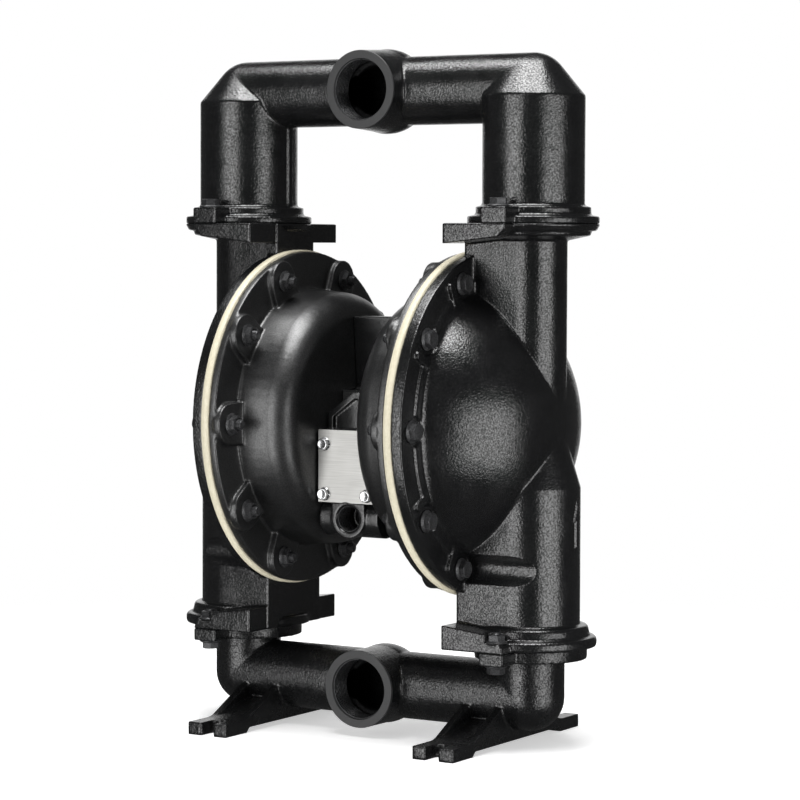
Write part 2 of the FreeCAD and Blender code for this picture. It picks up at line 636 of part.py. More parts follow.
def diaphragms():
    middle = size.clamp_x
    edge = size.bead_t * 0.5
    hole_r = 8.2
    sheet_body = revolved("diaphragm_sheet", [
        (middle - 2.5, hole_r), (middle + 2.5, hole_r), (middle + 2.5, 76), (middle + 2.5, 112, -24),
        (middle + edge, 118), (middle + edge, size.bead_r - 1.2), (middle + edge - 1.2, size.bead_r),
        (middle - edge + 1.2, size.bead_r), (middle - edge, size.bead_r - 1.2), (middle - edge, 117),
        (middle - 2.5, 111), (middle - 2.5, 77, 24)], "X", (0, 0, size.rod_z))
    hole = cylinder("diaphragm_hole_one", size.bolt_hole_r, 20,
                    (middle - 10, 0, size.rod_z + size.cap_bolt_r), "X")
    doc.recompute()
    holes = spread("diaphragm_holes", hole, around_rod(CAP_BOLT_ANGLES))
    both_sides("diaphragm", cut("diaphragm", sheet_body, holes))


def rod_parts():
    rod = size.rod_z
    half = size.rod_half
    shaft = cylinder("rod_shaft", size.rod_r, half * 2, (-half, 0, rod), "X")
    taps = [cylinder(f"rod_tap{side}", 8.05, 26, ((half - 25) * side - (0 if side > 0 else 26), 0, rod), "X")
            for side in (-1, 1)]
    node("diaphragm_rod", cut("rod", shaft, fuse("rod_taps", taps)))
    inner = revolved("air_side_washer", [
        (half, 8.2), (half + 1.5, size.washer_r - 14), (half + 5, size.washer_r - 1.5),
        (half + 6.5, size.washer_r), (half + 8, size.washer_r - 1), (half + 8, 8.2)], "X", (0, 0, rod))
    both_sides("air_side_washer", inner)
    start = size.clamp_x + 2.5
    outer = revolved("fluid_side_washer", [
        (start, 8.2), (start, size.washer_r - 3), (start + 2, size.washer_r - 1.5),
        (start + 4, size.washer_r - 4), (start + 8, 34), (start + 9, 24), (start + 9, 8.2)], "X", (0, 0, rod))
    both_sides("fluid_side_washer", outer)
    shank = cylinder("diaphragm_screw_shank", 8.0, 40, (start + 9 - 38, 0, rod), "X")
    head = doc.addObject("Part::Prism", "diaphragm_screw_head")
    head.Polygon = 6
    bind(head, "Circumradius", 13.9)
    bind(head, "Height", 10)
    put(head, (start + 9, 0, rod), "X")
    both_sides("diaphragm_screw", fuse("diaphragm_screw", [head, shank]))
    inner_end = size.drum_face_x - 8.8
    bush = revolved("rod_bush", [
        (inner_end, size.rod_r + 0.05), (inner_end, 13.9), (inner_end + 11, 13.9),
        (inner_end + 11, size.rod_r + 0.05)], "X", (0, 0, rod))
    both_sides("rod_bush", bush)
    seal = revolved("rod_seal", [
        (inner_end + 11.2, size.rod_r + 0.05), (inner_end + 11.2, 13.9), (inner_end + 14.6, 13.9),
        (inner_end + 14.6, 12.9), (inner_end + 13, 12.6), (inner_end + 13, 12.0),
        (inner_end + 14.6, size.rod_r + 0.35), (inner_end + 14.6, size.rod_r + 0.05)], "X", (0, 0, rod))
    both_sides("rod_seal", seal)


def check_valves():
    """Ball, seat and seat ring at the top and bottom of each fluid cap."""
    axis_x = size.column_x
    bore = 23.5
    for level, floor_z in (("top", size.top_joint_z - size.seat_t), ("bottom", size.bottom_joint_z)):
        groove_z = size.seat_t if level == "top" else as_size(0)
        into = -3.3 if level == "top" else 3.3
        groove = [(groove_z, 33.3), (groove_z + into, 33.3), (groove_z + into, 36.7), (groove_z, 36.7)]
        if level == "top":
            corners = [(0, bore), (4.85, bore), (size.seat_t, 28.5), *groove, (size.seat_t, size.seat_r),
                       (0, size.seat_r)]
        else:
            corners = [(0, bore), (4.85, bore), (size.seat_t, 28.5), (size.seat_t, size.seat_r),
                       (0, size.seat_r), *reversed(groove)]
        seat = revolved(level + "_seat", corners, "Z", (axis_x, 0, floor_z))
        both_sides(level + "_ball_seat", seat)
        ring_z = floor_z + groove_z + (-1.65 if level == "top" else 1.65)
        both_sides(level + "_seat_oring", ring(level + "_seat_ring", 35.0, 1.6, (axis_x, 0, ring_z)))
        both_sides(level + "_check_ball", ball(level + "_check_ball", size.ball_r,
                                               (axis_x, 0, floor_z + 26.75)))


def flange_bolt(name, shank, at, axis, turned):
    """An M10 flange bolt; its head stands on the point and its shank goes the other way."""
    head_t = size.bolt_head_t
    flange = cone(name + "_flange", size.bolt_flange_r, size.bolt_hex_r, 2.6, (0, 0, 0))
    hexagon = doc.addObject("Part::Prism", name + "_hex")
    hexagon.Polygon = 6
    bind(hexagon, "Circumradius", size.bolt_hex_r)
    bind(hexagon, "Height", head_t)
    stem = cylinder(name + "_stem", size.bolt_r, as_size(shank) + 1, (0, 0, -as_size(shank)))
    whole = fuse(name + "_form", [flange, hexagon, stem])
    doc.recompute()
    turn = TURN[axis].multiply(FreeCAD.Rotation(X_AXIS, 180)) if turned else TURN[axis]
    return spread(name, whole, [FreeCAD.Placement(V(*[as_size(c).value for c in at]), turn)])


def flange_nut(name, at, axis, turned):
    """An M10 flange nut that stands on the point; the bolt end fits its bore."""
    flange = cone(name + "_flange", size.bolt_flange_r, size.bolt_hex_r, 2.6, (0, 0, 0))
    hexagon = doc.addObject("Part::Prism", name + "_hex")
    hexagon.Polygon = 6
    bind(hexagon, "Circumradius", size.bolt_hex_r)
    bind(hexagon, "Height", size.bolt_head_t)
    bore = cylinder(name + "_bore", size.bolt_r + 0.05, 20, (0, 0, -1))
    whole = cut(name + "_form", fuse(name + "_solid", [flange, hexagon]), bore)
    doc.recompute()
    turn = TURN[axis].multiply(FreeCAD.Rotation(X_AXIS, 180)) if turned else TURN[axis]
    return spread(name, whole, [FreeCAD.Placement(V(*[as_size(c).value for c in at]), turn)])


def fasteners():
    rod = size.rod_z
    head_x = size.clamp_x + size.bead_t * 0.5 + size.fluid_flange_t
    nut_x = size.clamp_x - size.bead_t * 0.5 - size.air_flange_t - size.pad_t
    grip = head_x - nut_x
    bolt_z = rod + size.cap_bolt_r
    bolt = flange_bolt("cap_bolt", grip + size.bolt_head_t + 1.2, (head_x, 0, bolt_z), "X", False)
    nut = flange_nut("cap_nut", (nut_x, 0, bolt_z), "X", True)
    both_sides("cap_bolts", spread("cap_bolts", bolt, around_rod(CAP_BOLT_ANGLES)))
    both_sides("cap_nuts", spread("cap_nuts", nut, around_rod(CAP_BOLT_ANGLES)))
    axis_x = size.column_x
    bolt_y = size.joint_bolt_y
    corners = [FreeCAD.Placement(V(x, y, 0), FreeCAD.Rotation())
               for x in (-axis_x.value, axis_x.value) for y in (-bolt_y.value, bolt_y.value)]
    top_head = size.top_joint_z + 15.4
    low_head = size.bottom_joint_z - 11.7
    low_nut = size.bottom_joint_z + 9
    top_bolt = flange_bolt("top_bolt", 26.5, (0, 0, top_head), "Z", False)
    node("top_joint_bolts", spread("top_joint_bolts", top_bolt, corners))
    low_bolt = flange_bolt("low_bolt", 20.7 + 9.8, (0, 0, low_head), "Z", True)
    node("bottom_joint_bolts", spread("bottom_joint_bolts", low_bolt, corners))
    node("bottom_joint_nuts", spread("bottom_joint_nuts", flange_nut("low_nut", (0, 0, low_nut), "Z", False),
                                     corners))
    face_x = size.drum_face_x + 6
    head = cylinder("cap_screw_head", 6.5, 8, (face_x, 0, 0), "X")
    shank = cylinder("cap_screw_shank", 4.0, 20, (face_x - 19, 0, 0), "X")
    screw = fuse("cap_screw", [head, shank])
    doc.recompute()
    places = [FreeCAD.Placement(V(0, at_y, at_z), FreeCAD.Rotation()) for at_y, at_z in CAP_SCREWS]
    both_sides("air_cap_screws", spread("air_cap_screws", screw, places))


def air_valve():
    """Valve chest, its gasket, sleeve, spool and end plugs, with the bare cover plate in front."""
    half = size.plate_half
    low = size.plate_low_z
    top = size.plate_top_z
    back = size.chest_back_y
    rim = size.chest_y
    shield = extruded("chest_shield", [
        (-half, low), (half, low), (half, 313.4), (3, 334.0), (-3, 334.0), (-half, 313.4)],
        "XZ_Plane", (rim - back) * 0.5, (0, (rim + back) * -0.5, 0))
    dish = extruded("chest_dish", [
        (6 - half, 290), (half - 6, 290), (half - 6, 310.0), (1.5, 327.6), (-1.5, 327.6), (6 - half, 310.0)],
        "XZ_Plane", 4.0, (0, -rim, 0))
    step = extruded("chest_step", [
        (-size.plate_y + 2, low), (-rim + 6, low), (-rim + 6, top), (-size.plate_y + 5, top),
        (-size.plate_y + 2, top - 4)], "YZ_Plane", half)
    spool_at = (-size.spool_y, size.spool_z)
    bore = cylinder("chest_bore", 11.0, half * 2 + 2, (-half - 1, *spool_at), "X")
    screw_taps = [cylinder(f"plate_tap{number}", 3.05, 16, (at_x, -size.plate_y + 1, at_z), "Y")
                  for number, (at_x, at_z) in enumerate(PLATE_SCREWS)]
    node("valve_chest", cut("valve_chest", fuse("chest_solid", [
        cut("chest_dished", shield, dish), step]), fuse("chest_hollow", [bore, *screw_taps])))
    node("valve_gasket", box("valve_gasket", (-half, -size.chest_back_y, low), (half, -29, 333)))
    sleeve_outer = cylinder("sleeve_outer", 10.95, 53, (-26.5, *spool_at), "X")
    sleeve_bore = cylinder("sleeve_bore", 8.0, 60, (-30, *spool_at), "X")
    ports = [cylinder(f"sleeve_port{number}", 2.5, 40, (at_x, *(spool_at[0] - 20, spool_at[1])), "Y")
             for number, at_x in enumerate((-15, 0, 15))]
    node("valve_sleeve", cut("valve_sleeve", sleeve_outer, fuse("sleeve_hollow", [sleeve_bore, *ports])))
    land = size.spool_r
    waist = 5.0
    spool = revolved("spool", [
        (-19.5, 0), (-19.5, land), (-10.5, land), (-10.5, waist), (-4, waist), (-4, land), (4, land),
        (4, waist), (10.5, waist), (10.5, land), (19.5, land), (19.5, 0)], "X", (0, *spool_at))
    node("valve_spool", spool)
    plug = cylinder("end_plug", 10.95, 4, (half - 4.2, *spool_at), "X")
    both_sides("valve_plug", plug)
    sheet_metal = box("plate_blank", (-half, -size.plate_y, low), (half, -size.plate_y + 2, top))
    notch = cylinder("plate_notch", 16.4, 6, (0, -size.plate_y - 2, size.air_port_z), "Y")
    plate_holes = [cylinder(f"plate_hole{number}", 3.4, 6, (at_x, -size.plate_y - 2, at_z), "Y")
                   for number, (at_x, at_z) in enumerate(PLATE_SCREWS)]
    node("cover_plate", cut("cover_plate", sheet_metal, fuse("plate_hollow", [notch, *plate_holes])))
    washer = cylinder("plate_screw_washer", 6.4, 1.2, (0, -size.plate_y - 1.2, 0), "Y")
    head = doc.addObject("Part::Prism", "plate_screw_hex")
    head.Polygon = 6
    bind(head, "Circumradius", 5.77)
    bind(head, "Height", 5.4)
    put(head, (0, -size.plate_y - 5.4, 0), "Y")
    shank = cylinder("plate_screw_shank", 3.0, 15, (0, -size.plate_y - 1, 0), "Y")
    screw = fuse("plate_screw", [washer, head, shank])
    doc.recompute()
    places = [FreeCAD.Placement(V(at_x, 0, at_z), FreeCAD.Rotation()) for at_x, at_z in PLATE_SCREWS]
    node("plate_screws", spread("plate_screws", screw, places))
    pin = revolved("pilot_pin", [
        (-60, 0), (-60, 3.0), (-59, size.pilot_r), (-9, size.pilot_r), (-9, 2.6), (9, 2.6), (9, size.pilot_r),
        (59, size.pilot_r), (60, 3.0), (60, 0)], "X", (0, 0, size.pilot_z))
    node("pilot_pin", pin)


# Screws of the cover plate: across and up, in millimetres
PLATE_SCREWS = [(-24.0, 284.6), (24.0, 284.6), (-24.0, 236.6), (24.0, 236.6)]


def check_and_write():
    """Refuse a failed feature or a bad solid, then write one file for each sub-part."""
    doc.recompute()
    for thing in doc.Objects:
        if "Invalid" in thing.State or "Error" in thing.State:
            raise RuntimeError(f"{thing.Name} is {thing.State}")
    os.makedirs("parts", exist_ok=True)
    for label, thing in nodes.items():
        shape = thing.Shape
        if shape.isNull() or not shape.isValid() or not shape.Solids:
            raise RuntimeError(f"{label} has no valid solid")
    for label, thing in nodes.items():
        thing.Shape.exportStep(f"parts/{label}.step")
    print(len(nodes), "sub-parts,", sum(len(thing.Shape.Solids) for thing in nodes.values()), "solids")


top_manifold()
bottom_manifold()
fluid_cap()
air_cap()
centre_body()
diaphragms()
rod_parts()
check_valves()
air_valve()
fasteners()
check_and_write()
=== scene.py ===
# %% [markdown]
# # Dressing an air-operated double diaphragm pump
# The imported CAD model is the frame: every casting, bolt and ball already has its real size and place.
# This notebook gives it the looks of the real pump: black gloss paint on rounded sand castings, satin
# drums, oxide-black fasteners, cut pipe threads, a cream diaphragm edge and a bare brushed plate.
# The frame's own box is kept.

# %% Load the frame
import json
import math

import bmesh
import bpy
from mathutils import Matrix, Vector


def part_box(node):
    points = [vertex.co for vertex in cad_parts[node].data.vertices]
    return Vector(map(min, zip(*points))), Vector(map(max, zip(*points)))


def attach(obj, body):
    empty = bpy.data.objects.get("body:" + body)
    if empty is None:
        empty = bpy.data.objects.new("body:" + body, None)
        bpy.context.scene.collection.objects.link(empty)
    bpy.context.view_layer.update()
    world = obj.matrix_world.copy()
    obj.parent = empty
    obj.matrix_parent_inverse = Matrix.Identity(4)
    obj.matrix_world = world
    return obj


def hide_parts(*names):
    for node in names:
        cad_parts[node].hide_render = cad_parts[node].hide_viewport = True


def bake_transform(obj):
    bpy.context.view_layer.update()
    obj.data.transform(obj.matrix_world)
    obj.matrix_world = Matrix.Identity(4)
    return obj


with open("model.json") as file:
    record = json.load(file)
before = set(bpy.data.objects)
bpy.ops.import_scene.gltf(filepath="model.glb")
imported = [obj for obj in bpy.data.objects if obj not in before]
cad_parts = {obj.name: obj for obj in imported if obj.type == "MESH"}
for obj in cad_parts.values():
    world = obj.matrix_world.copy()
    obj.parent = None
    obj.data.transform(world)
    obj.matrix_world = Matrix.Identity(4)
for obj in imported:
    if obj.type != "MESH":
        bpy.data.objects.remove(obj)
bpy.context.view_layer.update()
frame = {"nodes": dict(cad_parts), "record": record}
scene = bpy.context.scene
MM = 0.001

# %% [markdown]
# ## The camera
# The photograph was taken from about 31 degrees to the right of the ports and 3 degrees above level,
# with a long lens. The camera's place is given, and its turn is worked out from those angles, so it can
# be read and changed. Its roll is a fifth of a degree, because the photograph leans by that much.

# %% Camera
PHOTO_TURN = math.radians(31.37)
PHOTO_RISE = math.radians(3.11)
PHOTO_ROLL = math.radians(0.21)
CAMERA_PLACE = Vector((1.4834, -2.4075, 0.4779))
FOCAL_PIXELS = 2906
PHOTO_PIXELS = 800
FILM_WIDTH = 36.0

backwards = Vector((math.sin(PHOTO_TURN) * math.cos(PHOTO_RISE),
                    -math.cos(PHOTO_TURN) * math.cos(PHOTO_RISE),
                    math.sin(PHOTO_RISE)))
level_right = Vector((math.cos(PHOTO_TURN), math.sin(PHOTO_TURN), 0))
level_up = backwards.cross(level_right)
camera_right = math.cos(PHOTO_ROLL) * level_right + math.sin(PHOTO_ROLL) * level_up
camera_up = math.cos(PHOTO_ROLL) * level_up - math.sin(PHOTO_ROLL) * level_right

camera = bpy.data.objects.new("camera", bpy.data.cameras.new("camera"))
scene.collection.objects.link(camera)
turned = Matrix((camera_right, camera_up, backwards)).transposed().to_4x4()
camera.matrix_world = Matrix.Translation(CAMERA_PLACE) @ turned
camera.data.sensor_width = FILM_WIDTH
camera.data.lens = FOCAL_PIXELS * FILM_WIDTH / PHOTO_PIXELS
scene.camera = camera
scene.view_settings.view_transform = "Standard"
print("lens", round(camera.data.lens, 1), "mm")

# %% [markdown]
# ## Small tools for node trees
# Materials, the world and the Geometry Nodes trees below are all node trees. One helper adds a node,
# sets its options and fills its sockets, so that each tree reads like a list of what it does.

# %% Node helper
def add(tree, kind, fill=None, **options):
    """A new node. fill gives sockets by name or number: a value, or another node's output."""
    made = tree.nodes.new(kind)
    for option, value in options.items():
        setattr(made, option, value)
    for socket, value in (fill or {}).items():
        if isinstance(value, bpy.types.NodeSocket):
            tree.links.new(value, made.inputs[socket])
        else:
            made.inputs[socket].default_value = value
    return made


def maths(tree, operation, *values):
    """One sum on numbers or sockets, as an output socket."""
    return add(tree, "ShaderNodeMath", dict(enumerate(values)), operation=operation).outputs[0]


# %% [markdown]
# ## Studio: world, floor and soft boxes
# The photograph shows a black pump on pure white, with broad reflections: a tall soft box just left of
# the ports, a wider one on the right, a strong one overhead and a weaker one over the left shoulder.
# White behind the object is what camera rays see of the world, and mirror rays see a little of it, since a
# studio screens a black object from its white surroundings. A dim box behind the pump lights its back.

# %% World
ROOM_LIGHT = 0.1
SEEN_IN_GLOSS = 0.06

world = bpy.data.worlds.new("white_studio")
scene.world = world
world.use_nodes = True
sky = world.node_tree
sky.nodes.clear()
rays = add(sky, "ShaderNodeLightPath")
mirror_share = maths(sky, "MULTIPLY", rays.outputs["Is Glossy Ray"], SEEN_IN_GLOSS)
seen = maths(sky, "MAXIMUM", rays.outputs["Is Camera Ray"], rays.outputs["Is Transmission Ray"])
seen = maths(sky, "MAXIMUM", seen, mirror_share)
is_mirror = rays.outputs["Is Glossy Ray"]
diffuse_only = maths(sky, "MULTIPLY", maths(sky, "SUBTRACT", 1.0, is_mirror), ROOM_LIGHT)
strength = maths(sky, "MAXIMUM", seen, diffuse_only)
backdrop = add(sky, "ShaderNodeBackground", {"Color": (1, 1, 1, 1), "Strength": strength})
add(sky, "ShaderNodeOutputWorld", {"Surface": backdrop.outputs[0]})

# %% Lamps
LIT_POINT = Vector((0.0, 0.0, 0.33))


def soft_box(name, azimuth, elevation, distance, width, height, radiance):
    """An area lamp that faces the pump. Azimuth is in degrees from the port side towards the right."""
    turn, rise = math.radians(azimuth), math.radians(elevation)
    away = Vector((math.sin(turn) * math.cos(rise), -math.cos(turn) * math.cos(rise), math.sin(rise)))
    lamp = bpy.data.lights.new(name, "AREA")
    lamp.shape = "RECTANGLE"
    lamp.size = width
    lamp.size_y = height
    lamp.energy = radiance * math.pi * width * height
    box = bpy.data.objects.new(name, lamp)
    scene.collection.objects.link(box)
    box.location = LIT_POINT + away * distance
    box.rotation_euler = away.to_track_quat("Z", "Y").to_euler()


# Azimuth and elevation in degrees, then distance, width and height in metres, and radiance.
SOFT_BOXES = {
    "left_box": (-13, -6, 2.3, 1.45, 2.4, 3.1),
    "right_box": (74, -8, 2.3, 1.8, 1.8, 2.9),
    "top_box": (35, 77, 2.0, 1.35, 1.4, 8.5),
    "shoulder_box": (-83, 70, 1.88, 0.8, 0.7, 5.5),
    "back_box": (210, 11, 2.3, 1.9, 1.8, 1.0),
}
for name, setting in SOFT_BOXES.items():
    soft_box(name, *setting)
print("lamps:", sorted(lamp.name for lamp in bpy.data.lights))

# %% [markdown]
# The floor is a pale disc that fades out. It takes the pump's shadows, and it glows a little for camera
# rays only, as a sheet lit from below does, so that the ground is as white as in the photograph. The soft
# boxes reach below the floor, as a curved white sweep would carry their light, so it doesn't block them.

# %% Floor
FLOOR_RADIUS = 1.1
FLOOR_CLEAR_FROM = 0.5
FLOOR_GLOW = 0.5
FLOOR_WHITE = (0.93, 0.93, 0.93, 1)


def mesh_from(skin, name):
    """A skin made in bmesh as a named mesh. The skin is used up."""
    mesh = bpy.data.meshes.new(name)
    skin.to_mesh(mesh)
    skin.free()
    return mesh


disc = bmesh.new()
bmesh.ops.create_circle(disc, cap_ends=True, segments=96, radius=FLOOR_RADIUS)
floor_mesh = mesh_from(disc, "floor")
floor = bpy.data.objects.new("floor", floor_mesh)
scene.collection.objects.link(floor)
floor_paint = bpy.data.materials.new("pale_floor")
floor_paint.use_nodes = True
tree = floor_paint.node_tree
tree.nodes.clear()
place = add(tree, "ShaderNodeTexCoord").outputs["Object"]
from_middle = add(tree, "ShaderNodeVectorMath", {0: place}, operation="LENGTH").outputs["Value"]
fade = add(tree, "ShaderNodeMapRange", {"Value": from_middle, "From Min": FLOOR_CLEAR_FROM,
                                        "From Max": FLOOR_RADIUS}, interpolation_type="SMOOTHSTEP")
white = add(tree, "ShaderNodeBsdfDiffuse", {"Color": FLOOR_WHITE})
seen_glow = maths(tree, "MULTIPLY", add(tree, "ShaderNodeLightPath").outputs["Is Camera Ray"], FLOOR_GLOW)
glow = add(tree, "ShaderNodeEmission", {"Strength": seen_glow})
lit = add(tree, "ShaderNodeAddShader", {0: white.outputs[0], 1: glow.outputs[0]})
clear = add(tree, "ShaderNodeBsdfTransparent")
faded = add(tree, "ShaderNodeMixShader", {0: fade.outputs[0], 1: lit.outputs[0], 2: clear.outputs[0]})
add(tree, "ShaderNodeOutputMaterial", {"Surface": faded.outputs[0]})
floor_mesh.materials.append(floor_paint)
floor.visible_glossy = False
floor.visible_shadow = False

# %% [markdown]
# ## Paint over sand castings
# Sand leaves grains of a millimetre or two in iron, and the gloss coat flows over them without filling
# them. Two noises make the relief: fine grain, and a slow wave that lets reflections wander. A third
# noise varies the gloss in patches, as spraying does, and the finest one lets pits shine less than the
# tops of the grains, which is what makes a reflection look sandy. Everything reads Object coordinates,
# which are metres here, so a noise scale of 560 is a grain of about 1.8 mm. The walls of the passages
# inside the manifolds are made rougher and shine less: painted shade, which keeps the bores dark.

# %% Coated casting material
GRAIN_SCALE = 560.0
PIT_SCALE = 740.0
WAVE_SCALE = 70.0
PATCH_SCALE = 34.0
NOISE_LOW = 0.35
NOISE_HIGH = 0.65
PAINT_IOR = 1.62
DARK_COAT = (0.0042, 0.0044, 0.0047)
LIGHT_COAT = (0.0075, 0.0077, 0.0080)
PASSAGE_R = 26.4 * MM
PASSAGE_HALF = 110 * MM
PORT_R = 29.7 * MM
# Painted shade in the passages: how much rougher their walls get, and how much of their shine is taken away.
PASSAGE_ROUGHER = 0.35
PASSAGE_SHADE_DULLING = 0.8


def finish_tree(name):
    """An empty material with its Object coordinates."""
    material = bpy.data.materials.new(name)
    material.use_nodes = True
    material.node_tree.nodes.clear()
    coordinates = add(material.node_tree, "ShaderNodeTexCoord").outputs["Object"]
    return material, material.node_tree, coordinates


def noise(tree, place, scale, detail=2.0, roughness=0.5):
    return add(tree, "ShaderNodeTexNoise", {"Vector": place, "Scale": scale, "Detail": detail,
                                            "Roughness": roughness}).outputs["Fac"]


def spread_of(tree, value, low, high):
    """A noise value stretched to run between two values."""
    return add(tree, "ShaderNodeMapRange", {"Value": value, "From Min": NOISE_LOW, "From Max": NOISE_HIGH,
                                            "To Min": low, "To Max": high}).outputs[0]


def relief(tree, height, depth, under=None):
    """A bump of the given depth in metres, over another bump if there is one."""
    sockets = {"Height": height, "Distance": depth, "Strength": 1.0}
    if under is not None:
        sockets["Normal"] = under
    return add(tree, "ShaderNodeBump", sockets).outputs[0]


def two_tone(tree, factor, dark, light):
    return add(tree, "ShaderNodeMix", {0: factor, 6: (*dark, 1), 7: (*light, 1)}, data_type="RGBA").outputs[2]


def from_axis(tree, place, axis_z, across):
    """How far a point is from a line through x = 0, y = 0, z = axis_z. across has a 0 along the line."""
    middle = (0, 0, axis_z)
    centred = add(tree, "ShaderNodeVectorMath", {0: place, 1: middle}, operation="SUBTRACT").outputs[0]
    flat = add(tree, "ShaderNodeVectorMath", {0: centred, 1: across}, operation="MULTIPLY").outputs[0]
    return add(tree, "ShaderNodeVectorMath", {0: flat}, operation="LENGTH").outputs["Value"]


# The mask of the painted shade: the walls of the passages inside a manifold.
def inside_manifold(tree, place, axis_z):
    """1 on the walls of a manifold's cross bore and of its threaded port."""
    sideways, along, _ = add(tree, "ShaderNodeSeparateXYZ", {0: place}).outputs
    in_bore = maths(tree, "LESS_THAN", from_axis(tree, place, axis_z, (0, 1, 1)), PASSAGE_R)
    between_legs = maths(tree, "LESS_THAN", maths(tree, "ABSOLUTE", sideways), PASSAGE_HALF)
    in_port = maths(tree, "LESS_THAN", from_axis(tree, place, axis_z, (1, 0, 1)), PORT_R)
    front = maths(tree, "LESS_THAN", along, 0.0)
    return maths(tree, "MAXIMUM", maths(tree, "MULTIPLY", in_bore, between_legs),
                 maths(tree, "MULTIPLY", in_port, front))


def coated_iron(name, grain_depth, wave_depth, gloss, pit_shine, grain_shine, manifold_z=None):
    """Black paint on a casting. The shines are specular levels, in the pits and on the grains."""
    material, tree, place = finish_tree(name)
    grain = noise(tree, place, GRAIN_SCALE, 1.5, 0.5)
    pits = noise(tree, place, PIT_SCALE, 1.0)
    patches = noise(tree, place, PATCH_SCALE, 4.0, 0.6)
    wave = noise(tree, place, WAVE_SCALE, 1.5, 0.4)
    colour = two_tone(tree, patches, DARK_COAT, LIGHT_COAT)
    rough = spread_of(tree, patches, gloss - 0.04, gloss + 0.05)
    shine = spread_of(tree, pits, pit_shine, grain_shine)
    # Painted shade: the passage walls are made rougher and shine less, so that they stay dark.
    if manifold_z is not None:
        inside = inside_manifold(tree, place, manifold_z)
        rough = maths(tree, "ADD", rough, maths(tree, "MULTIPLY", inside, PASSAGE_ROUGHER))
        kept_shine = maths(tree, "SUBTRACT", 1.0, maths(tree, "MULTIPLY", inside, PASSAGE_SHADE_DULLING))
        shine = maths(tree, "MULTIPLY", shine, kept_shine)
    bumped = relief(tree, grain, grain_depth, relief(tree, wave, wave_depth))
    paint = add(tree, "ShaderNodeBsdfPrincipled", {
        "Base Color": colour, "Roughness": rough, "Specular IOR Level": shine,
        "IOR": PAINT_IOR, "Normal": bumped})
    add(tree, "ShaderNodeOutputMaterial", {"Surface": paint.outputs[0]})
    return material


PORT_FACE_Y = -50.4 * MM
TOP_PORT_Z = 623.4 * MM
BOTTOM_PORT_Z = 46.9 * MM
# Each coat gives the depth of grain and wave, the roughness, and the shine of pits and of grains.
GLOSS_COAT = (0.26 * MM, 0.3 * MM, 0.22, 0.24, 0.82)
ROUGH_COAT = (0.34 * MM, 0.35 * MM, 0.26, 0.15, 0.8)
SATIN_COAT = (0.08 * MM, 0.3 * MM, 0.37, 0.7, 1.0)
SMOOTH_COAT = (0.05 * MM, 0.2 * MM, 0.24, 0.5, 0.8)
gloss_black = coated_iron("gloss_black_casting", *GLOSS_COAT)
delivery_black = coated_iron("gloss_black_delivery", *GLOSS_COAT, TOP_PORT_Z)
suction_black = coated_iron("rough_black_suction", *ROUGH_COAT, BOTTOM_PORT_Z)
satin_black = coated_iron("satin_black_casting", *SATIN_COAT)
smooth_black = coated_iron("smooth_black_block", *SMOOTH_COAT)

# %% [markdown]
# ## Metals, rubbers and plastic
# Fasteners come with a black oxide that has worn to grey in specks. The turned rod and washers carry
# fine rings around the X axis, the plate is brushed along X, and the threads are cut steel with oil on
# them. The two port faces show the circles of the tool that faced them. Rubbers are matte with a faint
# bloom of lighter dust. Each finish is a short function of its own.

# %% Metal and rubber materials
CLOUD_SCALE = 60.0
FACE_SPECK_SCALE = 420.0
TOOL_FEED = 0.6 * MM
TOOL_MARK = 0.006 * MM
TURNED = (2500.0, 6.0, 6.0)
BRUSHED = (25.0, 900.0, 1400.0)
FACE_GREY = (0.02, 0.0202, 0.0206)


def finished(tree, colour, rough, metal, bumped):
    """The shader at the end of a plain finish. Metal is a number on the shader's own socket."""
    sockets = {"Base Color": colour, "Roughness": rough, "Metallic": metal, "Normal": bumped}
    shader = add(tree, "ShaderNodeBsdfPrincipled", sockets)
    add(tree, "ShaderNodeOutputMaterial", {"Surface": shader.outputs[0]})


def speckled(name, dark, light, metal, rough, speck_scale, depth):
    """Colour and gloss that vary in specks, over a fine relief."""
    material, tree, place = finish_tree(name)
    specks = noise(tree, place, speck_scale, 4.0, 0.65)
    colour = two_tone(tree, spread_of(tree, specks, 0.0, 1.0), dark, light)
    finished(tree, colour, spread_of(tree, specks, rough + 0.07, rough - 0.07), metal,
             relief(tree, noise(tree, place, speck_scale * 3, 2.0), depth))
    return material


def lined(name, dark, light, metal, rough, stretch, depth):
    """Fine lines along one axis: the stretch is large across the lines and small along them."""
    material, tree, place = finish_tree(name)
    drawn = add(tree, "ShaderNodeMapping", {"Vector": place, "Scale": stretch}).outputs[0]
    lines = noise(tree, drawn, 1.0, 3.0, 0.6)
    clouds = noise(tree, place, CLOUD_SCALE, 2.0)
    colour = two_tone(tree, spread_of(tree, lines, 0.0, 1.0), dark, light)
    finished(tree, colour, spread_of(tree, clouds, rough - 0.05, rough + 0.05), metal,
             relief(tree, lines, depth))
    return material


def turned_metal(name, dark, light, rough, axis_scale):
    """Rings left by a turning tool: noise that runs fast along the part's own axis only."""
    return lined(name, dark, light, 1.0, rough, axis_scale, 0.01 * MM)


def faced(name, axis_z, colour, rough):
    """A face cut square to Y: fine circles around a port's axis."""
    material, tree, place = finish_tree(name)
    radius = from_axis(tree, place, axis_z, (1, 0, 1))
    circles = maths(tree, "SINE", maths(tree, "MULTIPLY", radius, 2 * math.pi / TOOL_FEED))
    specks = noise(tree, place, FACE_SPECK_SCALE, 3.0)
    shade = two_tone(tree, specks, colour, [2 * part for part in colour])
    finished(tree, shade, spread_of(tree, specks, rough - 0.05, rough + 0.08), 0.0,
             relief(tree, circles, TOOL_MARK))
    return material


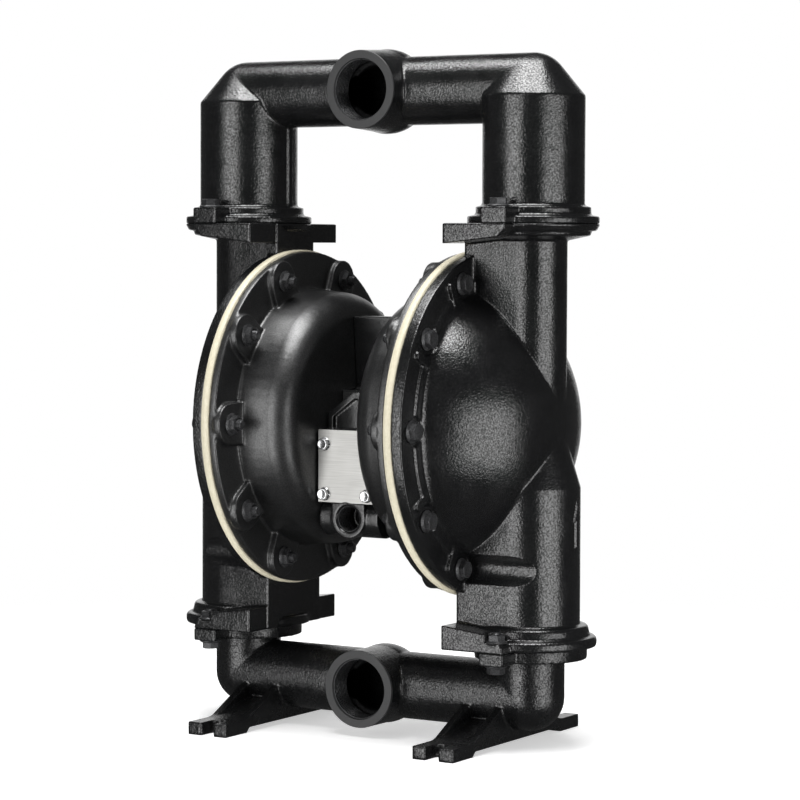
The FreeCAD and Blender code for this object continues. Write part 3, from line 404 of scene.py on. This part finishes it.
# Each row gives the dark and the light colour, metal, roughness, scale of the specks and depth in mm.
SPECKLED = {
    "oxide_black_steel": ((0.016, 0.016, 0.017), (0.085, 0.086, 0.089), 0.5, 0.36, 900.0, 0.02),
    "cut_thread_steel": ((0.02, 0.02, 0.021), (0.06, 0.061, 0.063), 0.5, 0.3, 500.0, 0.01),
    "bright_zinc": ((0.62, 0.63, 0.65), (0.8, 0.8, 0.8), 1.0, 0.24, 700.0, 0.01),
    "cream_elastomer": ((0.64, 0.59, 0.44), (0.72, 0.67, 0.52), 0.0, 0.5, 240.0, 0.03),
    "white_elastomer": ((0.68, 0.65, 0.57), (0.75, 0.72, 0.64), 0.0, 0.42, 300.0, 0.02),
    "black_elastomer": ((0.012, 0.012, 0.012), (0.024, 0.024, 0.024), 0.0, 0.55, 500.0, 0.02),
    "machined_plastic": ((0.09, 0.09, 0.1), (0.14, 0.14, 0.15), 0.0, 0.45, 600.0, 0.02),
}
speck_finish = {}
for name, (*numbers, depth_mm) in SPECKLED.items():
    speck_finish[name] = speckled(name, *numbers, depth_mm * MM)
bright_steel = turned_metal("turned_steel", (0.5, 0.5, 0.51), (0.66, 0.66, 0.66), 0.25, TURNED)
bronze = turned_metal("turned_bronze", (0.45, 0.29, 0.13), (0.58, 0.40, 0.19), 0.3, TURNED)
plate_silver = lined("brushed_plate", (0.50, 0.495, 0.475), (0.60, 0.595, 0.575), 0.6, 0.5, BRUSHED, 0.004 * MM)
delivery_face = faced("faced_delivery_port", TOP_PORT_Z, FACE_GREY, 0.42)
suction_face = faced("faced_suction_port", BOTTOM_PORT_Z, FACE_GREY, 0.42)
print("materials:", len(bpy.data.materials))

# %% [markdown]
# ## Who wears what
# Each CAD node keeps its mesh and gets its finish here. The record's slots say what each node is made
# of, so the finish can be looked up by slot. The two manifolds get paints with painted shade in their
# passages, and the centre body and its chest wear a smoother coat.

# %% Finishes by slot
FINISH_OF_SLOT = {
    "cast_black": gloss_black, "cap_black": satin_black, "bright_steel": bright_steel, "bronze": bronze,
    "plate_silver": plate_silver, "oxide_steel": speck_finish["oxide_black_steel"],
    "screw_chrome": speck_finish["bright_zinc"], "diaphragm_cream": speck_finish["cream_elastomer"],
    "ball_white": speck_finish["white_elastomer"], "seal_black": speck_finish["black_elastomer"],
    "valve_plastic": speck_finish["machined_plastic"],
}
FINISH_OF_NODE = {"top_manifold": delivery_black, "bottom_manifold": suction_black,
                  "center_body": smooth_black, "valve_chest": smooth_black}


def slot_names():
    """The record's slot for each node."""
    return {part["node"]: part["material_slot"] for part in frame["record"]["subparts"]}


def wear(piece, finish):
    piece.data.materials.clear()
    piece.data.materials.append(finish)


SLOT_OF = slot_names()
for label, cad_piece in frame["nodes"].items():
    wear(cad_piece, FINISH_OF_NODE.get(label, FINISH_OF_SLOT[SLOT_OF[label]]))

# %% [markdown]
# ## Rounding the castings
# A CAD solid has knife edges, and a casting has none: the pattern maker rounds every edge and fills
# every corner by a millimetre or two. Bevels on a mesh with this many crossings would tear, so each
# casting is copied, remeshed in small voxels and relaxed, which rounds edges and fills corners alike.
# The number of faces is then brought down, because flat ground needs few of them.

# %% Helpers for finished pieces
SHARP_FROM = math.radians(35)


def mesh_of(piece):
    """The plain mesh of a piece with its modifiers done."""
    evaluated = piece.evaluated_get(bpy.context.evaluated_depsgraph_get())
    return bpy.data.meshes.new_from_object(evaluated)


def stand_in(name, mesh):
    """A piece in the scene for as long as its modifiers need one."""
    piece = bpy.data.objects.new(name, mesh)
    scene.collection.objects.link(piece)
    return piece


def finished_piece(name, mesh, finish, body, replaced=()):
    """A finished piece of the pump: its place is in its mesh, and its object is at the origin."""
    mesh.name = name
    piece = stand_in(name, mesh)
    wear(piece, finish)
    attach(piece, body)
    if replaced:
        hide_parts(*replaced)
    print(name, triangles(mesh), "triangles")


def triangles(mesh):
    return sum(len(face.vertices) - 2 for face in mesh.polygons)


def smoothly_shaded(mesh):
    mesh.shade_smooth()
    mesh.set_sharp_from_angle(angle=SHARP_FROM)
    return mesh


def merged(label):
    """A CAD node's mesh as one skin, for work on a copy."""
    skin = bmesh.new()
    skin.from_mesh(frame["nodes"][label].data)
    bmesh.ops.remove_doubles(skin, verts=skin.verts, dist=0.001 * MM)
    return skin


# %% Soften the castings
MOST_TRIANGLES = 185000

# Size of the voxels and passes of relaxing for each casting.
ROUNDING = {
    "top_manifold": (1.25 * MM, 4), "bottom_manifold": (1.25 * MM, 4),
    "right_fluid_cap": (1.0 * MM, 3), "right_air_cap": (1.25 * MM, 4),
    "center_body": (0.9 * MM, 2), "valve_chest": (0.8 * MM, 2),
}
TWINS = {"right_fluid_cap": "left_fluid_cap", "right_air_cap": "left_air_cap"}


def softened(label, voxel, passes):
    """A rounded copy of a CAD casting."""
    blank = stand_in(label + "_blank", mesh_from(merged(label), label + "_sharp"))
    grid = blank.modifiers.new("grid", "REMESH")
    grid.mode = "VOXEL"
    grid.voxel_size = voxel * 1
    relax = blank.modifiers.new("relax", "SMOOTH")
    relax.factor = 0.5
    relax.iterations = passes
    soft_mesh = mesh_of(blank)
    blank.modifiers.clear()
    count = triangles(soft_mesh)
    if count > MOST_TRIANGLES:
        blank.data = soft_mesh
        blank.modifiers.new("thin", "DECIMATE").ratio = MOST_TRIANGLES / count
        soft_mesh = mesh_of(blank)
    bpy.data.objects.remove(blank)
    soft_mesh.shade_smooth()
    return soft_mesh


def other_hand(mesh):
    """The mirror image across the pump's middle, with its faces turned back outwards."""
    twin = mesh.copy()
    twin.transform(Matrix.Scale(-1, 4, (1, 0, 0)))
    twin.flip_normals()
    return twin


def cast_piece(label, mesh):
    finish = FINISH_OF_NODE.get(label, FINISH_OF_SLOT[SLOT_OF[label]])
    finished_piece(label + "_casting", mesh, finish, "pump", [label])


for label, (voxel, passes) in ROUNDING.items():
    rounded = softened(label, voxel, passes)
    if label in TWINS:
        cast_piece(TWINS[label], other_hand(rounded))
    cast_piece(label, rounded)

# %% [markdown]
# ## Diaphragms in a rim and six slices
# The rod carries the middle of each diaphragm to and fro, and the covers clamp its rim. A blend between
# two bodies runs along a straight line, while a diaphragm flexes from its axis in every direction. So a
# drum cuts the sheet out of the rim, which stays one ring with no seam in the bead that shows outside, and
# the sheet is cut into six slices, each around its own middle line. The cut between neighbours is at the
# same angle from both middle lines.

# %% Slice the diaphragms
SLICES = 6
FIRST_SLICE = math.radians(40)
CLAMPED_R = 118 * MM
DRUM_SIDES = 120
DRUM_LENGTH = 80 * MM


def drum_cut(label, axis_point, operation):
    """A diaphragm's sheet (INTERSECT) or its clamped rim (DIFFERENCE), cut by a drum around the rod."""
    drum = bmesh.new()
    across = Matrix.Translation(axis_point) @ Matrix.Rotation(math.pi / 2, 4, "Y")
    bmesh.ops.create_cone(drum, cap_ends=True, segments=DRUM_SIDES, radius1=CLAMPED_R, radius2=CLAMPED_R,
                          depth=DRUM_LENGTH, matrix=across)
    blank = stand_in(label + "_blank", mesh_from(merged(label), label + "_blank"))
    cutter = stand_in(label + "_cutter", mesh_from(drum, label + "_cutter"))
    knife = blank.modifiers.new("knife", "BOOLEAN")
    knife.operation = operation
    knife.solver = "EXACT"
    knife.object = cutter
    cut_mesh = mesh_of(blank)
    bpy.data.objects.remove(blank)
    bpy.data.objects.remove(cutter)
    return cut_mesh


def slice_mesh(sheet, name, axis_point, middle):
    """The part of a sheet within half a slice of a direction around the axis, closed at its cuts."""
    skin = bmesh.new()
    skin.from_mesh(sheet)
    half = math.pi / SLICES
    for angle, inside in ((middle - half, 1), (middle + half, -1)):
        normal = Vector((0, math.cos(angle), -math.sin(angle))) * inside
        cut = bmesh.ops.bisect_plane(skin, geom=skin.verts[:] + skin.edges[:] + skin.faces[:],
                                     plane_co=axis_point, plane_no=normal, clear_inner=True)
        section = [piece for piece in cut["geom_cut"] if isinstance(piece, bmesh.types.BMEdge)]
        bmesh.ops.triangle_fill(skin, edges=section, use_beauty=True)
    bmesh.ops.recalc_face_normals(skin, faces=skin.faces)
    return smoothly_shaded(mesh_from(skin, name))


def flexing_diaphragm(label):
    low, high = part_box(label)
    axis_point = (low + high) / 2
    cream = FINISH_OF_SLOT[SLOT_OF[label]]
    rim = smoothly_shaded(drum_cut(label, axis_point, "DIFFERENCE"))
    finished_piece(label + "_rim", rim, cream, "pump", [label])
    sheet = drum_cut(label, axis_point, "INTERSECT")
    for number in range(SLICES):
        name = f"{label}_slice_{number + 1}"
        middle = FIRST_SLICE + 2 * math.pi * number / SLICES
        piece = stand_in(name, slice_mesh(sheet, name, axis_point, middle))
        wear(piece, cream)
        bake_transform(piece)
        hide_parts(label)
    print(label, "in a rim and", SLICES, "slices of about", triangles(piece.data), "triangles")


flexing_diaphragm("right_diaphragm")
flexing_diaphragm("left_diaphragm")

# %% [markdown]
# ## Hexagon flange fasteners
# Real flange bolts have a chamfered hexagon over a round flange, a shallow dish on top and a rolled
# thread. One of each kind is drawn as rings of points around its axis: a hexagon is a ring whose radius
# grows towards its corners, and its chamfer is where that ring meets a cone. The thread is a wave that
# climbs by one pitch a turn. The bolt stands on z = 0 with its head up.

# %% Draw the fasteners
SPOKES = 48
THREAD_LEVELS = 5
CHAMFER_SLOPE = math.tan(math.radians(28))
TOP_SHARE = 0.82
DISH_DEPTH = 0.45 * MM


def hexagon_radius(angle, corner_radius):
    within = (angle + math.pi / 6) % (math.pi / 3) - math.pi / 6
    return corner_radius * math.cos(math.pi / 6) / math.cos(within)


def ringed_mesh(name, rings, closed_loop=False, spokes=SPOKES):
    """A skin over rings. Each ring gives radius and height at an angle; the ends are capped."""
    skin = bmesh.new()
    turns = [2 * math.pi * spoke / spokes for spoke in range(spokes)]
    rows = []
    for ring in rings:
        row = []
        for turn in turns:
            radius, height = ring(turn)
            row.append(skin.verts.new((radius * math.cos(turn), radius * math.sin(turn), height)))
        rows.append(row)
    pairs = list(zip(rows, rows[1:]))
    if closed_loop:
        pairs.append((rows[-1], rows[0]))
    for lower, upper in pairs:
        for spoke in range(spokes):
            after = (spoke + 1) % spokes
            skin.faces.new((lower[spoke], lower[after], upper[after], upper[spoke]))
    if not closed_loop:
        skin.faces.new(rows[-1])
        skin.faces.new(rows[0][::-1])
    bmesh.ops.recalc_face_normals(skin, faces=skin.faces)
    return smoothly_shaded(mesh_from(skin, name))


def level(radius, height):
    """A plain round ring."""
    return lambda turn: (radius, height)


def head_rings(flange_r, corner_r, flange_t, height):
    """Rings of a flange and a chamfered hexagon, from the seat up to the rim of the top."""
    rim_r = corner_r * TOP_SHARE

    def side_foot(turn):
        return hexagon_radius(turn, corner_r), flange_t

    def side_top(turn):
        radius = hexagon_radius(turn, corner_r)
        return radius, height - (radius - rim_r) * CHAMFER_SLOPE

    edge = flange_t * 0.3
    return [level(flange_r - edge * 0.7, 0), level(flange_r, edge), level(flange_r, edge * 1.4),
            level(flange_r - edge * 0.6, edge * 2.0), side_foot, side_top, level(rim_r, height)]


def thread_rings(radius, pitch, length, top):
    """Rings of a rolled thread that climbs by one pitch a turn, downwards from a height."""
    depth = pitch * 0.5

    def ring_at(height):
        def ring(turn):
            phase = (height / pitch - turn / (2 * math.pi)) % 1.0
            return radius - depth * (1 - abs(2 * phase - 1)), height
        return ring

    count = int(length / pitch * THREAD_LEVELS)
    return [ring_at(top - pitch * step / THREAD_LEVELS) for step in range(count + 1)]


def bolt_mesh(name, flange_r, corner_r, flange_t, height, shank_r, shank, thread, pitch):
    """A whole bolt, from its threaded end up to its dished head."""
    shank_top = thread - shank
    rings = [level(shank_r - 1.2 * MM, -shank)]
    rings += reversed(thread_rings(shank_r, pitch, thread - 0.8 * MM, shank_top))
    rings += [level(shank_r, shank_top + 0.3 * MM), level(shank_r, 0)]
    rings += head_rings(flange_r, corner_r, flange_t, height)
    rim_r = corner_r * TOP_SHARE
    rings += [level(rim_r - 0.5 * MM, height), level(rim_r - 1.6 * MM, height - DISH_DEPTH),
              level(0.5 * MM, height - DISH_DEPTH)]
    return ringed_mesh(name, rings)


def nut_mesh(name, flange_r, corner_r, flange_t, height, bore_r):
    """A flange nut with a countersunk bore through it."""
    rings = head_rings(flange_r, corner_r, flange_t, height)
    rings += [level(bore_r + 0.9 * MM, height), level(bore_r, height - 0.7 * MM),
              level(bore_r, 0.7 * MM), level(bore_r + 0.7 * MM, 0)]
    return ringed_mesh(name, rings, closed_loop=True)


# %% [markdown]
# ## One tree for all fasteners
# A Geometry Nodes tree puts a fastener on every point of a small mesh, turned to the direction that the
# point stores, with a random spin of its hexagon, because nobody lines hexagons up with a wrench. The
# points come from the CAD: each separate solid in a fastener node has a box, and the seat is one head
# height from the end of that box. So no place is written twice.

# %% Fastener tree
def new_tree(name, inputs):
    """An empty Geometry Nodes tree with named inputs: name, socket type and default."""
    tree = bpy.data.node_groups.new(name, "GeometryNodeTree")
    tree.interface.new_socket("Geometry", in_out="OUTPUT", socket_type="NodeSocketGeometry")
    for label, kind, default in inputs:
        socket = tree.interface.new_socket(label, in_out="INPUT", socket_type=kind)
        if default is not None:
            socket.default_value = default
    return tree, add(tree, "NodeGroupInput").outputs


def give(piece, tree, values):
    """Hang a tree on a piece and set its inputs by their names."""
    modifier = piece.modifiers.new(tree.name, "NODES")
    modifier.node_group = tree
    for item in tree.interface.items_tree:
        if item.in_out == "INPUT" and item.name in values:
            modifier[item.identifier] = values[item.name]
    return modifier


fastener_tree, given = new_tree("fasteners_on_points", [
    ("Geometry", "NodeSocketGeometry", None), ("Fastener", "NodeSocketObject", None),
    ("Finish", "NodeSocketMaterial", None), ("Spin seed", "NodeSocketInt", 1),
    ("Largest spin", "NodeSocketFloat", math.pi / 3)])
kind = add(fastener_tree, "GeometryNodeObjectInfo", {"Object": given["Fastener"]})
pointing = add(fastener_tree, "GeometryNodeInputNamedAttribute", {"Name": "pointing"},
               data_type="FLOAT_VECTOR").outputs["Attribute"]
aimed = add(fastener_tree, "FunctionNodeAlignRotationToVector", {"Vector": pointing}, axis="Z")
spin = add(fastener_tree, "FunctionNodeRandomValue", {"Seed": given["Spin seed"]}, data_type="FLOAT")
fastener_tree.links.new(given["Largest spin"], spin.inputs[3])
turned_by = add(fastener_tree, "FunctionNodeAxisAngleToRotation", {
    "Axis": (0, 0, 1), "Angle": spin.outputs[1]})
turned_on = add(fastener_tree, "FunctionNodeRotateRotation",
                {0: aimed.outputs[0], 1: turned_by.outputs[0]}, rotation_space="LOCAL")
placed = add(fastener_tree, "GeometryNodeInstanceOnPoints", {
    "Points": given["Geometry"], "Instance": kind.outputs["Geometry"], "Rotation": turned_on.outputs[0]})
solid = add(fastener_tree, "GeometryNodeRealizeInstances", {0: placed.outputs[0]})
dressed = add(fastener_tree, "GeometryNodeSetMaterial", {"Geometry": solid.outputs[0],
                                                         "Material": given["Finish"]})
add(fastener_tree, "NodeGroupOutput", {0: dressed.outputs[0]})


# %% Where the CAD has its fasteners
def solids_in(label):
    """The box of each separate solid in a CAD node, as its lowest and highest corner."""
    skin = merged(label)
    reached = set()
    boxes = []
    for start in skin.verts:
        if start in reached:
            continue
        reached.add(start)
        group = [start]
        for vertex in group:
            for edge in vertex.link_edges:
                other = edge.other_vert(vertex)
                if other not in reached:
                    reached.add(other)
                    group.append(other)
        corners = [[pick(v.co[axis] for v in group) for axis in range(3)] for pick in (min, max)]
        boxes.append((Vector(corners[0]), Vector(corners[1])))
    skin.free()
    return boxes


def seats(label, way, head):
    """The seat of each fastener in a node, for heads that point along a direction."""
    way = Vector(way)
    places = []
    for low, high in solids_in(label):
        middle = (low + high) / 2
        half_length = abs((high - low).dot(way)) / 2
        places.append(middle + way * (half_length - head))
    return places


def length_of(label, way):
    low, high = solids_in(label)[0]
    return abs((high - low).dot(Vector(way)))


def fasten(name, label, way, pattern, head, finish, seed):
    """Put one kind of fastener where a CAD node has its own, and let it stand for that node."""
    places = seats(label, way, head)
    points = bpy.data.meshes.new(name + "_points")
    points.from_pydata(places, [], [])
    store = points.attributes.new("pointing", "FLOAT_VECTOR", "POINT")
    for record in store.data:
        record.vector = way
    carrier = stand_in(name + "_points", points)
    give(carrier, fastener_tree, {"Fastener": pattern, "Finish": finish, "Spin seed": seed})
    mesh = mesh_of(carrier)
    bpy.data.objects.remove(carrier)
    finished_piece(name, mesh, finish, "pump", [label])


# %% Fit bolts and nuts
FLANGE_R = 10.6 * MM
HEX_R = 8.66 * MM
FLANGE_T = 2.6 * MM
HEAD_T = 8.2 * MM
SHANK_R = 5.0 * MM
NUT_BORE_R = 5.05 * MM
M10_PITCH = 1.5 * MM
LONGEST_THREAD = 20 * MM
PAST_CAP_NUT = 3.6 * MM
RIGHT, LEFT, UP, DOWN, FRONT = (1, 0, 0), (-1, 0, 0), (0, 0, 1), (0, 0, -1), (0, -1, 0)


def m10_bolt(name, length, past_nut=0.0):
    """A pattern bolt, kept out of sight: the length of the CAD bolt, and what stands past the nut."""
    shank = length - HEAD_T + past_nut
    thread = min(LONGEST_THREAD, shank * 0.6)
    return stand_in(name, bolt_mesh(name, FLANGE_R, HEX_R, FLANGE_T, HEAD_T, SHANK_R, shank, thread, M10_PITCH))


nut_pattern = stand_in("nut_pattern", nut_mesh("nut_pattern", FLANGE_R, HEX_R, FLANGE_T, HEAD_T, NUT_BORE_R))
cap_bolt_pattern = m10_bolt("cap_bolt_pattern", length_of("right_cap_bolts", RIGHT), PAST_CAP_NUT)
top_bolt_pattern = m10_bolt("top_bolt_pattern", length_of("top_joint_bolts", UP))
low_bolt_pattern = m10_bolt("low_bolt_pattern", length_of("bottom_joint_bolts", UP))

# The piece, its CAD node, the way its heads point, its pattern and the seed of its spins.
M10_SETS = [
    ("right_cap_hex_bolts", "right_cap_bolts", RIGHT, cap_bolt_pattern, 11),
    ("left_cap_hex_bolts", "left_cap_bolts", LEFT, cap_bolt_pattern, 12),
    ("right_cap_hex_nuts", "right_cap_nuts", LEFT, nut_pattern, 13),
    ("left_cap_hex_nuts", "left_cap_nuts", RIGHT, nut_pattern, 14),
    ("top_joint_hex_bolts", "top_joint_bolts", UP, top_bolt_pattern, 15),
    ("bottom_joint_hex_bolts", "bottom_joint_bolts", DOWN, low_bolt_pattern, 16),
    ("bottom_joint_hex_nuts", "bottom_joint_nuts", UP, nut_pattern, 17),
]
for name, label, way, pattern, seed in M10_SETS:
    fasten(name, label, way, pattern, HEAD_T, speck_finish["oxide_black_steel"], seed)

# %% Fit the plate screws
SCREW_HEAD = 5.4 * MM
SCREW_THREAD = 8 * MM
M6_PITCH = 1.0 * MM
screw_shank = length_of("plate_screws", FRONT) - SCREW_HEAD
plate_screw_pattern = stand_in("plate_screw_pattern", bolt_mesh(
    "plate_screw_pattern", 6.4 * MM, 5.77 * MM, 1.5 * MM, SCREW_HEAD, 3.0 * MM, screw_shank, SCREW_THREAD,
    M6_PITCH))
fasten("plate_hex_screws", "plate_screws", FRONT, plate_screw_pattern, SCREW_HEAD,
       speck_finish["bright_zinc"], 18)
for pattern in (nut_pattern, cap_bolt_pattern, top_bolt_pattern, low_bolt_pattern, plate_screw_pattern):
    bpy.data.objects.remove(pattern)

# %% [markdown]
# ## Pipe threads
# The CAD has plain bores at the radius of the thread's wall. The ridges stand on that wall: a
# trapezium drawn along a helix. The same tree makes both pipe ports, the air inlet and the exhaust,
# with the number of threads to the inch of each size.

# %% Thread tree
thread_tree, given = new_tree("pipe_thread", [
    ("Geometry", "NodeSocketGeometry", None), ("Wall radius", "NodeSocketFloat", 0.029),
    ("Pitch", "NodeSocketFloat", 0.0023), ("Turns", "NodeSocketFloat", 10.0),
    ("Segments a turn", "NodeSocketInt", 96), ("Finish", "NodeSocketMaterial", None)])
rise = maths(thread_tree, "MULTIPLY", given["Pitch"], given["Turns"])
helix = add(thread_tree, "GeometryNodeCurveSpiral", {
    "Resolution": given["Segments a turn"], "Rotations": given["Turns"], "Start Radius": given["Wall radius"],
    "End Radius": given["Wall radius"], "Height": rise})
upright = add(thread_tree, "GeometryNodeSetCurveNormal", {0: helix.outputs[0]}, mode="Z_UP")
ridge = add(thread_tree, "GeometryNodeCurvePrimitiveQuadrilateral", {
    "Bottom Width": maths(thread_tree, "MULTIPLY", given["Pitch"], 0.92),
    "Top Width": maths(thread_tree, "MULTIPLY", given["Pitch"], 0.2),
    "Height": maths(thread_tree, "MULTIPLY", given["Pitch"], 0.7), "Offset": 0.0}, mode="TRAPEZOID")
facing_in = add(thread_tree, "GeometryNodeTransform", {"Geometry": ridge.outputs[0],
                                                       "Rotation": (0, 0, math.radians(90))})
drawn = add(thread_tree, "GeometryNodeCurveToMesh", {0: upright.outputs[0], 1: facing_in.outputs[0],
                                                     "Fill Caps": True})
cut_thread = add(thread_tree, "GeometryNodeRealizeInstances", {0: drawn.outputs[0]})
oiled = add(thread_tree, "GeometryNodeSetMaterial", {"Geometry": cut_thread.outputs[0],
                                                     "Material": given["Finish"]})
add(thread_tree, "NodeGroupOutput", {0: oiled.outputs[0]})

# %% Cut the threads
INCH = 25.4 * MM
MOUTH = 2.2 * MM
INLET_FACE_Y = -69.6 * MM
EXHAUST_FACE_Y = 62 * MM


def port_thread(name, mouth, inwards, wall_radius, threads_an_inch, depth):
    """A thread that starts just inside a port's mouth and runs inwards."""
    pitch = INCH / threads_an_inch
    finish = speck_finish["cut_thread_steel"]
    carrier = stand_in(name, bpy.data.meshes.new(name))
    give(carrier, thread_tree, {"Wall radius": wall_radius, "Pitch": pitch, "Turns": depth / pitch,
                                "Finish": finish})
    mesh = mesh_of(carrier)
    bpy.data.objects.remove(carrier)
    mesh.transform(Matrix.Translation(mouth) @ Vector(inwards).to_track_quat("Z", "X").to_matrix().to_4x4())
    finished_piece(name, mesh, finish, "pump")
    return mesh


port_of = {mount["name"]: mount for mount in frame["record"]["mounts"]}
inlet = port_of["air_inlet"]
exhaust = port_of["air_exhaust"]
pipe_wall = 29.0 * MM
threads = port_thread("delivery_port_thread", (0, PORT_FACE_Y + MOUTH, TOP_PORT_Z), (0, 1, 0),
                      pipe_wall, 11, 22 * MM)
reach = [math.hypot(vertex.co.x, vertex.co.z - TOP_PORT_Z) for vertex in threads.vertices]
print("delivery thread from", round(min(reach) / MM, 2), "to", round(max(reach) / MM, 2), "mm")
port_thread("suction_port_thread", (0, PORT_FACE_Y + MOUTH, BOTTOM_PORT_Z), (0, 1, 0), pipe_wall, 11, 22 * MM)
port_thread("air_inlet_thread", (0, INLET_FACE_Y + MOUTH, inlet["pos_m"][2]), (0, 1, 0),
            inlet["dims"]["r_mm"] * MM, 14, 20 * MM)
port_thread("air_exhaust_thread", (0, EXHAUST_FACE_Y - MOUTH, exhaust["pos_m"][2]), (0, -1, 0),
            exhaust["dims"]["r_mm"] * MM, 11, 18 * MM)

# %% [markdown]
# ## Faced ports and the flow arrow
# The port faces are the only cut surfaces on the two manifolds, so they keep crisp edges in the middle of
# rounded castings: a ring with a small chamfer lies flush with each face. The lower valve columns carry
# a raised arrow that points up, the way the liquid goes. It is a flat outline that is bent around the
# column and stands a millimetre and a half proud of it.

# %% Port faces
def face_ring(name, axis_z, finish):
    """The cut face of a port: outer edge broken by 0.4 mm, inner edge by 0.8 mm."""
    profile = [(29.0, 1.6), (29.8, 0.0), (37.15, 0.0), (37.55, 0.4), (37.55, 3.0), (34.0, 5.0), (29.0, 5.0)]
    rings = [level(radius * MM, -depth * MM) for radius, depth in profile]
    mesh = ringed_mesh(name, rings, closed_loop=True, spokes=192)
    mesh.transform(Matrix.Translation((0, PORT_FACE_Y, axis_z)) @ Matrix.Rotation(math.radians(90), 4, "X"))
    finished_piece(name, mesh, finish, "pump")


face_ring("delivery_port_face", TOP_PORT_Z, delivery_face)
face_ring("suction_port_face", BOTTOM_PORT_Z, suction_face)

# %% Flow arrows
COLUMN_X = 162 * MM
COLUMN_R = 46.5 * MM
ARROW_TURN = math.radians(3)
ARROW_HEIGHT = 1.5
ARROW_SLOPE = 1.7
ARROW_OUTLINE = [(0, 236), (-6.4, 215), (-3.4, 215), (-3.4, 191), (3.4, 191), (3.4, 215), (6.4, 215)]


def flow_arrow(name, side):
    """A raised arrow on the outer face of a lower column, with sloping edges. side is 1 or -1."""
    skin = bmesh.new()
    outline = [skin.verts.new((along, up, 0.1)) for along, up in ARROW_OUTLINE]
    top = skin.faces.new(outline)
    top.normal_update()
    bmesh.ops.inset_region(skin, faces=[top], thickness=ARROW_SLOPE, use_even_offset=True, use_boundary=True)
    for corner in top.verts:
        corner.co.z = ARROW_HEIGHT
    rim = [edge for edge in skin.edges if edge.is_boundary]
    skirt = bmesh.ops.extrude_edge_only(skin, edges=rim)["geom"]
    feet = [piece for piece in skirt if isinstance(piece, bmesh.types.BMVert)]
    for foot in feet:
        foot.co.z = -ARROW_HEIGHT
    bmesh.ops.contextual_create(skin, geom=[edge for edge in skin.edges if edge.is_boundary])
    bmesh.ops.triangulate(skin, faces=skin.faces)
    for corner in skin.verts:
        along, up, height = corner.co
        turn = ARROW_TURN + along * MM / COLUMN_R
        reach = COLUMN_R + height * MM
        corner.co = (side * (COLUMN_X + reach * math.cos(turn)), reach * math.sin(turn), up * MM)
    bmesh.ops.recalc_face_normals(skin, faces=skin.faces)
    if skin.calc_volume(signed=True) < 0:
        bmesh.ops.reverse_faces(skin, faces=skin.faces)
    finished_piece(name, mesh_from(skin, name), gloss_black, "pump")


flow_arrow("right_flow_arrow", 1)
flow_arrow("left_flow_arrow", -1)
